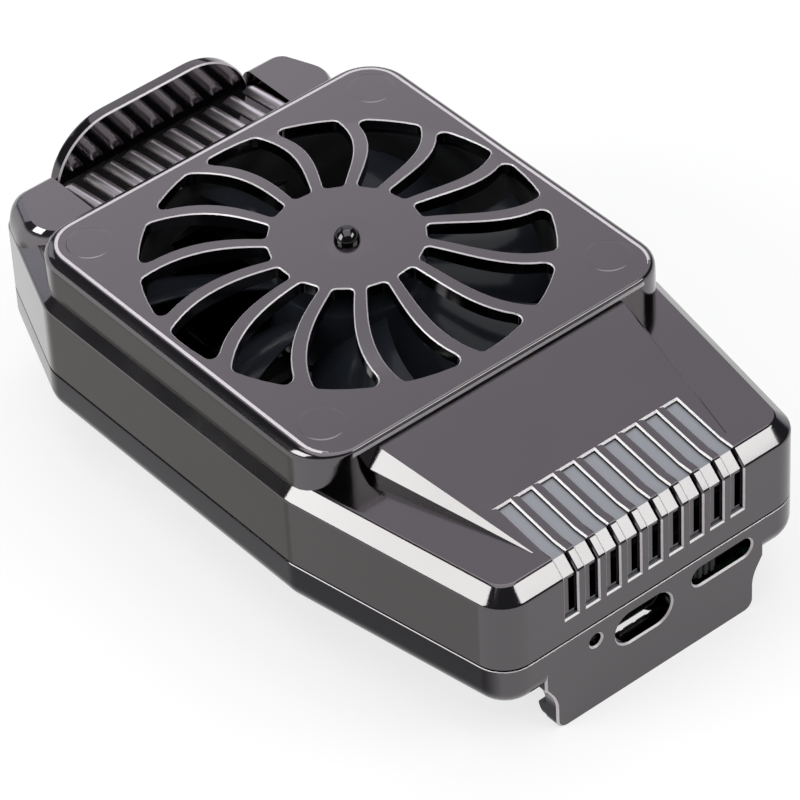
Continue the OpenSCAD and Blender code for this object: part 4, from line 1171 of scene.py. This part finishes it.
def grip_body(sizes):
    """The grip's block under its ribs, with painted shade on its floor between them."""
    near = sizes.grip_start
    front = sizes.lip_front
    high = grip_floor(sizes, near)
    last = grip_floor(sizes, front)
    ease = 0.2
    back = Y_REAR - 1
    profile = [(near, SLIDE_LOW), (near, high - ease), (near + ease, high), (front + 0.5, last),
               (back, last), (back, SLIDE_LOW)]
    # the lip is a little wider, so that their sides stay apart
    half = sizes.thumb_width / 2 - 0.04
    return painted(prism("thumb_grip", profile, -half, half, at_side),
                   ("plated_grip", "plated_rim", "plated_rib", "nub_plating"),
                   lambda face: 3 if face.normal.z > 0.9 else 0)


def thumb_lip(sizes):
    """The upright lip at the grip's end, with a painted highlight as a line along its front edge."""
    half = sizes.thumb_width / 2
    foot = SLIDE_LOW + 0.3
    crest = sizes.hood_top + sizes.lip_height
    front = sizes.lip_front
    corners = oblong(-half, foot, half, crest)
    radii = [0, 0, sizes.lip_corner, sizes.lip_corner]
    levels = [(front, 0.2), (front + 0.2, 0), (Y_REAR - 0.5, 0), (Y_REAR - 0.15, 0.13), (Y_REAR, 0.5)]
    line_from = sizes.wall_top + 1
    return painted(stacked("lip", corners, radii, levels, 16, at_depth), ("plated_grip", "plated_rim"),
                   lambda face: int(sloped(-face.normal.y) and face.center.z > line_from))


def grip_ribs(sizes):
    """The round ribs along the grip's floor, eased at both ends, with a painted highlight over them."""
    near = sizes.grip_start
    end = sizes.lip_front - 1
    count = 10
    half = sizes.rib_width / 2
    pitch = (sizes.thumb_width - 2 * half) / (count - 1)
    steps = 12
    root = -0.5
    arch = [(half * math.cos(math.pi * k / steps), RIB_HEIGHT * math.sin(math.pi * k / steps))
            for k in range(steps + 1)]
    arch = [(half, root)] + arch + [(-half, root)]

    def ring(y, scale):
        return [Vector((x, y, grip_floor(sizes, y) + (z * scale if z > 0 else z))) for x, z in arch]

    levels = [(near + 0.15, 0.6), (near + 0.3, 0.9), (near + 0.5, 1),
              (end - 0.9, 1), (end - 0.35, 0.8), (end, 0.35)]
    ribs = repeated(loft("rib", [ring(y, scale) for y, scale in levels]), in_row(count, pitch))
    return painted(ribs, ("plated_grip", "plated_rim", "plated_rib"), lambda face: 2)


def rear_jaw(sizes):
    """The sliding jaw's plate, the neck that carries it, and its hook."""
    outline = rounded(oblong(-sizes.jaw_half, 0, sizes.jaw_half, Z_TRAY - 0.3), [1.5, 1.5, 0.4, 0.4])
    face = sizes.jaw_face + sizes.clamp_closed
    back = face + sizes.jaw_thickness
    plate = loft("rear_jaw", [at_depth(outline, face), at_depth(outline, back - JAW_BEVEL),
                              at_depth(widened(outline, -JAW_BEVEL), back)])
    neck = block("neck", (-TONGUE_HALF, face, 4), (TONGUE_HALF, back, 7.6))
    return plate, neck, hooked(face, -1, outline)


class FAN_OT_thumb_slide(bpy.types.Operator):
    """Model the ribbed thumb grip with its lip, tongue and rear jaw"""
    bl_idname = "fan.thumb_slide"
    bl_label = "Thumb Slide"

    def execute(self, context):
        sizes = sizes_mm(context.scene)
        near = sizes.grip_start
        grip = grip_body(sizes)
        add(grip, thumb_lip(sizes))
        wall = 1.8
        half = sizes.thumb_width / 2 - wall
        far = Y_REAR - 2.2
        roof = sizes.wall_top - 0.5
        hollow = [(near - 2, TONGUE_TOP), (near - 2, roof), (far, roof), (far, TONGUE_TOP)]
        cut(grip, prism("hollow", hollow, -half, half, at_side))
        add(grip, grip_ribs(sizes))
        end = near + 1
        add(grip, block("tongue", (-TONGUE_HALF, TONGUE_START, SLIDE_LOW), (TONGUE_HALF, end, TONGUE_TOP)))
        add(grip, block("flange", (-FLANGE_HALF, TONGUE_START, FLANGE_LOW), (FLANGE_HALF, end, TONGUE_TOP)))
        add(grip, *rear_jaw(sizes))
        spring = 1.45
        cut(grip, joined([block("groove", (x - spring, TONGUE_START + 1.5, SLIDE_LOW + 0.5),
                                (x + spring, near - 2.6, 12)) for x in (-4, 4)]))
        tidy(grip)
        complete(grip, "clamp", "plated_grip", "clamp_slider")
        return {"FINISHED"}


def fan_blade(hub, tip, low, top):
    """One blade: cambered, thin at its edges, swept forward, and wider and flatter towards its tip."""
    sections = 9
    steps = 4
    root = 0.35
    root_half = 4.7
    widening = 1.5
    flattening = 0.1
    edge = 0.45
    rest = 24
    sweep = 9
    half_thick = 0.5
    thinning = 0.75
    camber = 0.9
    rings = []
    for i in range(sections + 1):
        outward = i / sections
        radius = hub - root + (tip - hub + root) * outward
        half = root_half + widening * outward
        drop = (top - low) / 2 * (1 - flattening * outward) - edge
        swing = math.radians(rest + sweep * outward ** 1.6)
        ring = []
        for side in (1, -1):
            for k in range(2 * steps + 1):
                t = (-1 + k / steps) * side
                thick = half_thick * (1 - thinning * t * t)
                angle = swing + t * half / radius
                z = (top + low) / 2 + t * drop + camber * (1 - t * t) - camber / 4 + side * thick
                ring.append(Vector((radius * math.cos(angle), FAN_Y + radius * math.sin(angle), z)))
        rings.append(ring)
    return loft("blade", rings)


class FAN_OT_rotor(bpy.types.Operator):
    """Model the fan's hub and its swept, twisted blades"""
    bl_idname = "fan.rotor"
    bl_label = "Fan Rotor"

    def execute(self, context):
        low = ROTOR_LOW.z
        high = ROTOR_HIGH.z
        hub = 9.5
        tip = 24.3
        inner = hub - 0.8
        rotor = turned("fan_blades", [(hub, low), (hub, high - 0.7), (hub - 0.2, high - 0.25),
                                      (hub - 0.7, high), (3, high)], 72)
        cut(rotor, turned("cup", [(inner, low - CUT_PAST), (inner, high - 1.4)], 72))
        add(rotor, turned("spigot", [(2.6, 25.5), (2.6, high - 0.7)], 32))
        cut(rotor, turned("shaft_hole", [(1.01, 25), (1.01, high - 0.4)], 32))
        add(rotor, repeated(fan_blade(hub, tip, low, high - 0.6), round_fan(7)))
        complete(rotor, "rotor", "blade_plastic", "fan_rotor")
        return {"FINISHED"}


def jaw_strip(sizes, node, body, way):
    """A soft strip on a jaw, with grooves across its face."""
    half = sizes.jaw_half - 2.5
    corners = oblong(-half, 3.2, half, Z_TRAY - 0.6)
    seat, face = (corner.y for corner in box_mm(node)[::way])
    levels = [(seat, 0), (face - way * 0.3, 0), (face - way * 0.08, 0.1), (face, 0.3)]
    strip = stacked(node + "_strip", corners, [0.8] * 4, levels, place=at_depth)
    width = 0.3
    depth = 0.25
    cut(strip, joined([block("groove", (x - width, face - depth, 2), (x + width, face + depth, 8))
                       for x in range(-11, 12, 2)]))
    complete(strip, body, "soft_pad", node)


class FAN_OT_soft_pads(bpy.types.Operator):
    """Model the four foot pads and the two jaw strips"""
    bl_idname = "fan.soft_pads"
    bl_label = "Soft Pads"

    def execute(self, context):
        sizes = sizes_mm(context.scene)
        low = FEET_LOW.z
        half = 1.8
        long = 3.5
        corners = oblong(-half, -long, half, long)
        levels = [(Z_TRAY, 0), (low + 0.45, 0), (low + 0.18, 0.12), (low + 0.04, 0.35), (low, 0.7)]
        foot = stacked("foot", corners, [1.2] * 4, levels)
        # where the right pads stand
        front = (20.386, Y_FRONT + 13)
        rear = (FEET_HIGH.x - half, FAN_Y + 12)
        feet = repeated(foot, [Matrix.Translation((side * x, y, 0))
                               for side in (-1, 1) for x, y in (front, rear)])
        feet.name = "foot_rubbers"
        complete(feet, "case", "foot_rubber", "foot_pads")
        jaw_strip(sizes, "front_jaw_pad", "case", 1)
        jaw_strip(sizes, "rear_jaw_pad", "clamp", -1)
        return {"FINISHED"}


def charge_socket(low, high):
    """The socket's steel shell, its tongue and the contacts on it."""
    x = (low.x + high.x) / 2
    z = (low.z + high.z) / 2
    width = high.x - low.x
    height = high.z - low.z

    def lofted(name, levels):
        return loft(name, [at_depth(stadium(width - 2 * d, height - 2 * d, x, z), y) for y, d in levels])

    shell = lofted("charge_socket", [(low.y, 0.12), (low.y + 0.12, 0), (high.y, 0)])
    cut(shell, lofted("mouth", [(low.y - 1, -0.1), (low.y, 0.18), (low.y + 0.2, 0.3), (high.y - 1, 0.3)]))
    complete(shell, "case", "socket_steel", "usb_socket")
    half = 3.1
    thick = 0.33
    corners = oblong(x - half, z - thick, x + half, z + thick)
    tongue = prism("charge_tongue", rounded(corners, [0.2] * 4, 3), low.y + 0.9, high.y - 0.5, at_depth)
    complete(tongue, "case", "black_plastic", "usb_socket")
    contact = block("contact", (-0.13, low.y + 1.1, z + 0.3), (0.13, high.y - 1.2, z + 0.36))
    contacts = repeated(contact, in_row(12, 0.5, x))
    contacts.name = "charge_contacts"
    dressed(contacts, "bronze")
    complete(contacts, "case", "socket_steel", "usb_socket")


def switch_thumb(low, high):
    """The switch's knob, with three ridges on its face and a stem behind it."""
    foot = 9.3
    top = 11.4
    knob = block("switch_thumb", (low.x, low.y + 0.25, foot), (high.x, Y_FRONT + 2.15, top))
    soften(knob, lambda middle: middle.y < low.y + 0.3, 0.22, 3)
    half = 0.3
    inset = 0.05
    ridge = oblong(-half, foot + inset, half, top - inset)
    worn = [(x * 0.55, z) for x, z in ridge]
    bar = loft("ridge", [at_depth(ridge, low.y + 0.5), at_depth(ridge, low.y + 0.1), at_depth(worn, low.y)])
    add(knob, repeated(bar, in_row(3, 0.95, (low.x + high.x) / 2)))
    side = 0.5
    add(knob, block("stem", (low.x + side, low.y + side, low.z + 0.1), (high.x - side, high.y, low.z + 1)))
    complete(knob, "knob", "knob_plastic", "switch_knob")


class FAN_OT_charge_end(bpy.types.Operator):
    """Model the charge socket and the switch knob"""
    bl_idname = "fan.charge_end"
    bl_label = "Charge End"

    def execute(self, context):
        charge_socket(*box_mm("usb_socket"))
        switch_thumb(*box_mm("switch_knob"))
        return {"FINISHED"}


SOLID_FINISHES = {
    "upper_shell": "plated_case", "lower_shell": "plated_case", "clamp_slider": "plated_grip",
    "front_jaw_pad": "soft_pad", "rear_jaw_pad": "soft_pad", "foot_pads": "foot_rubber",
    "clamp_spring_left": "spring_steel", "clamp_spring_right": "spring_steel",
    "fan_frame": "black_plastic", "fan_rotor": "blade_plastic", "fan_shaft": "bright_steel",
    "fan_bearing": "bronze", "shaft_clip": "clip_plastic", "fan_yoke": "yoke_steel",
    "fan_magnet": "magnet", "fan_stator": "core_steel", "fan_windings": "copper_wire",
    "fan_board": "circuit_board", "fan_leads": "lead_cover", "battery": "cell_foil",
    "battery_tape": "foam_tape", "battery_leads": "lead_cover", "control_board": "circuit_board",
    "usb_socket": "socket_steel", "slide_switch": "black_plastic", "switch_knob": "knob_plastic",
    "charge_led": "lamp_lens", "board_screws": "bright_steel", "case_screws": "dark_steel",
}


class FAN_OT_dress_solids(bpy.types.Operator):
    """Give the solids that stay as they are their finishes"""
    bl_idname = "fan.dress_solids"
    bl_label = "Dress Solids"

    def execute(self, context):
        for name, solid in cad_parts.items():
            slot = SOLID_FINISHES.get(name)
            if not slot:
                raise RuntimeError("no finish for " + name)
            for entry in solid.material_slots:
                entry.material = FINISHES[slot]
            if not solid.material_slots:
                solid.data.materials.append(FINISHES[slot])
        return {"FINISHED"}


# Stage


# direction from the fan, distance, size, level and tone
LAMPS = {
    "high_box": ((0.46, 0.47, 0.635), 1.6, (1.7, 2.0), 1.0, (0.97, 0.95, 1)),
    "left_box": ((-0.852, 0.26, 0.454), 1.5, (0.85, 0.85), 7, (1, 1.06, 0.99)),
    "back_box": ((-0.13, 0.93, 0.34), 1.5, (0.75, 0.75), 0.9, (0.9, 0.94, 1)),
    "top_box": ((-0.05, -0.1, 1), 1.8, (2.2, 2.2), 1.6, (1, 1, 1)),
    "front_box": ((0.46, -0.66, 0.59), 1.5, (0.9, 0.36), 7, (1, 1.06, 0.99)),
}


def softbox(name, towards, distance, size, level, tone):
    """A flat lamp in a direction from the fan, turned to face it."""
    aim = Vector((0, FAN_Y * MM, 0.02))
    direction = Vector(towards).normalized()
    lamp = bpy.data.lights.new(name, "AREA")
    lamp.shape = "RECTANGLE"
    lamp.color = tone
    lamp.size, lamp.size_y = size
    # a lamp of this power shows as bright as the given level
    lamp.energy = level * math.pi * size[0] * size[1]
    lamp_object = bpy.data.objects.new(name, lamp)
    bpy.context.collection.objects.link(lamp_object)
    lamp_object.location = aim + direction * distance
    lamp_object.rotation_euler = direction.to_track_quat("Z", "Y").to_euler()


def make_floor(pale):
    """The floor, which shows near white to the camera and in reflections."""
    ready()
    bpy.ops.mesh.primitive_plane_add(size=12)
    floor = bpy.context.object
    floor.name = "floor"
    finish = Finish("floor")
    finish.set(Base_Color=finish.clouded(finish.noise(60), pale, 0.99, 1.01), Roughness=0.9)
    seen = sum(finish.node("ShaderNodeLightPath", output=ray)
               for ray in ("Is Camera Ray", "Is Glossy Ray", "Is Transmission Ray"))
    white = finish.node("ShaderNodeEmission", inputs={"Color": (1, 1, 1, 1), "Strength": 1})
    finish.cover(white, seen * FLOOR_GLOW)
    dressed(floor, "floor")


def make_world(scene):
    """A world that is pale up to the horizon and dark above it."""
    pale = (0.8, 0.84, 0.95, 1)
    dark = (0.09, 0.09, 0.095, 1)
    world = bpy.data.worlds.new("studio")
    scene.world = world
    world.use_nodes = True
    sky = Nodes(world.node_tree)
    rise = sky.ranged(sky.along("Generated", "Z"), 0.0, 0.08)
    sky.fill(world.node_tree.nodes["Background"], "Color", sky.blend(rise, pale, dark))


def make_camera(scene):
    """The camera, placed and turned as the photograph's was."""
    place = (-0.2804, FAN_Y * MM - 0.3676, 0.4157)
    right = Vector((0.7646, -0.6429, -0.0407))
    up = Vector((0.4505, 0.4885, 0.7472))
    camera = bpy.data.cameras.new("camera")
    camera.lens = 226.9
    camera.sensor_width = 36
    camera.clip_start = 0.01
    view = bpy.data.objects.new("camera", camera)
    bpy.context.collection.objects.link(view)
    turn = Matrix((right, up, right.cross(up))).transposed().to_4x4()
    view.matrix_world = Matrix.Translation(place) @ turn
    scene.camera = view


class FAN_OT_stage(bpy.types.Operator):
    """Set up the floor, the lamps, the world and the camera"""
    bl_idname = "fan.stage"
    bl_label = "Stage"

    def execute(self, context):
        scene = context.scene
        make_floor(tuple(scene.fan_finish.floor))
        for name, settings in LAMPS.items():
            softbox(name, *settings)
        make_world(scene)
        make_camera(scene)
        scene.view_settings.view_transform = "Standard"
        return {"FINISHED"}


class FAN_PT_pieces(bpy.types.Panel):
    """The fan's pieces, sizes and finishes"""
    bl_idname = "FAN_PT_pieces"
    bl_label = "Phone Cooling Fan"
    bl_space_type = "VIEW_3D"
    bl_region_type = "UI"
    bl_category = "Cooling Fan"

    def draw(self, context):
        for group in (context.scene.fan_sizes, context.scene.fan_finish):
            for name in group.__annotations__:
                self.layout.prop(group, name)
        for operator in OPERATORS:
            self.layout.operator(operator.bl_idname)


OPERATORS = (FAN_OT_dress_solids, FAN_OT_upper_shell, FAN_OT_lower_shell, FAN_OT_thumb_slide, FAN_OT_rotor,
             FAN_OT_soft_pads, FAN_OT_charge_end, FAN_OT_stage)
CLASSES = (FanSizes, FanFinish) + OPERATORS + (FAN_PT_pieces,)


def register():
    for cls in CLASSES:
        bpy.utils.register_class(cls)
    bpy.types.Scene.fan_sizes = bpy.props.PointerProperty(type=FanSizes)
    bpy.types.Scene.fan_finish = bpy.props.PointerProperty(type=FanFinish)


def unregister():
    del bpy.types.Scene.fan_finish
    del bpy.types.Scene.fan_sizes
    for cls in reversed(CLASSES):
        bpy.utils.unregister_class(cls)


def main():
    register()
    make_finishes(bpy.context.scene.fan_finish)
    bpy.ops.fan.dress_solids()
    bpy.ops.fan.upper_shell()
    bpy.ops.fan.lower_shell()
    bpy.ops.fan.thumb_slide()
    bpy.ops.fan.rotor()
    bpy.ops.fan.soft_pads()
    bpy.ops.fan.charge_end()
    bpy.ops.fan.stage()


if __name__ == "__main__":
    main()
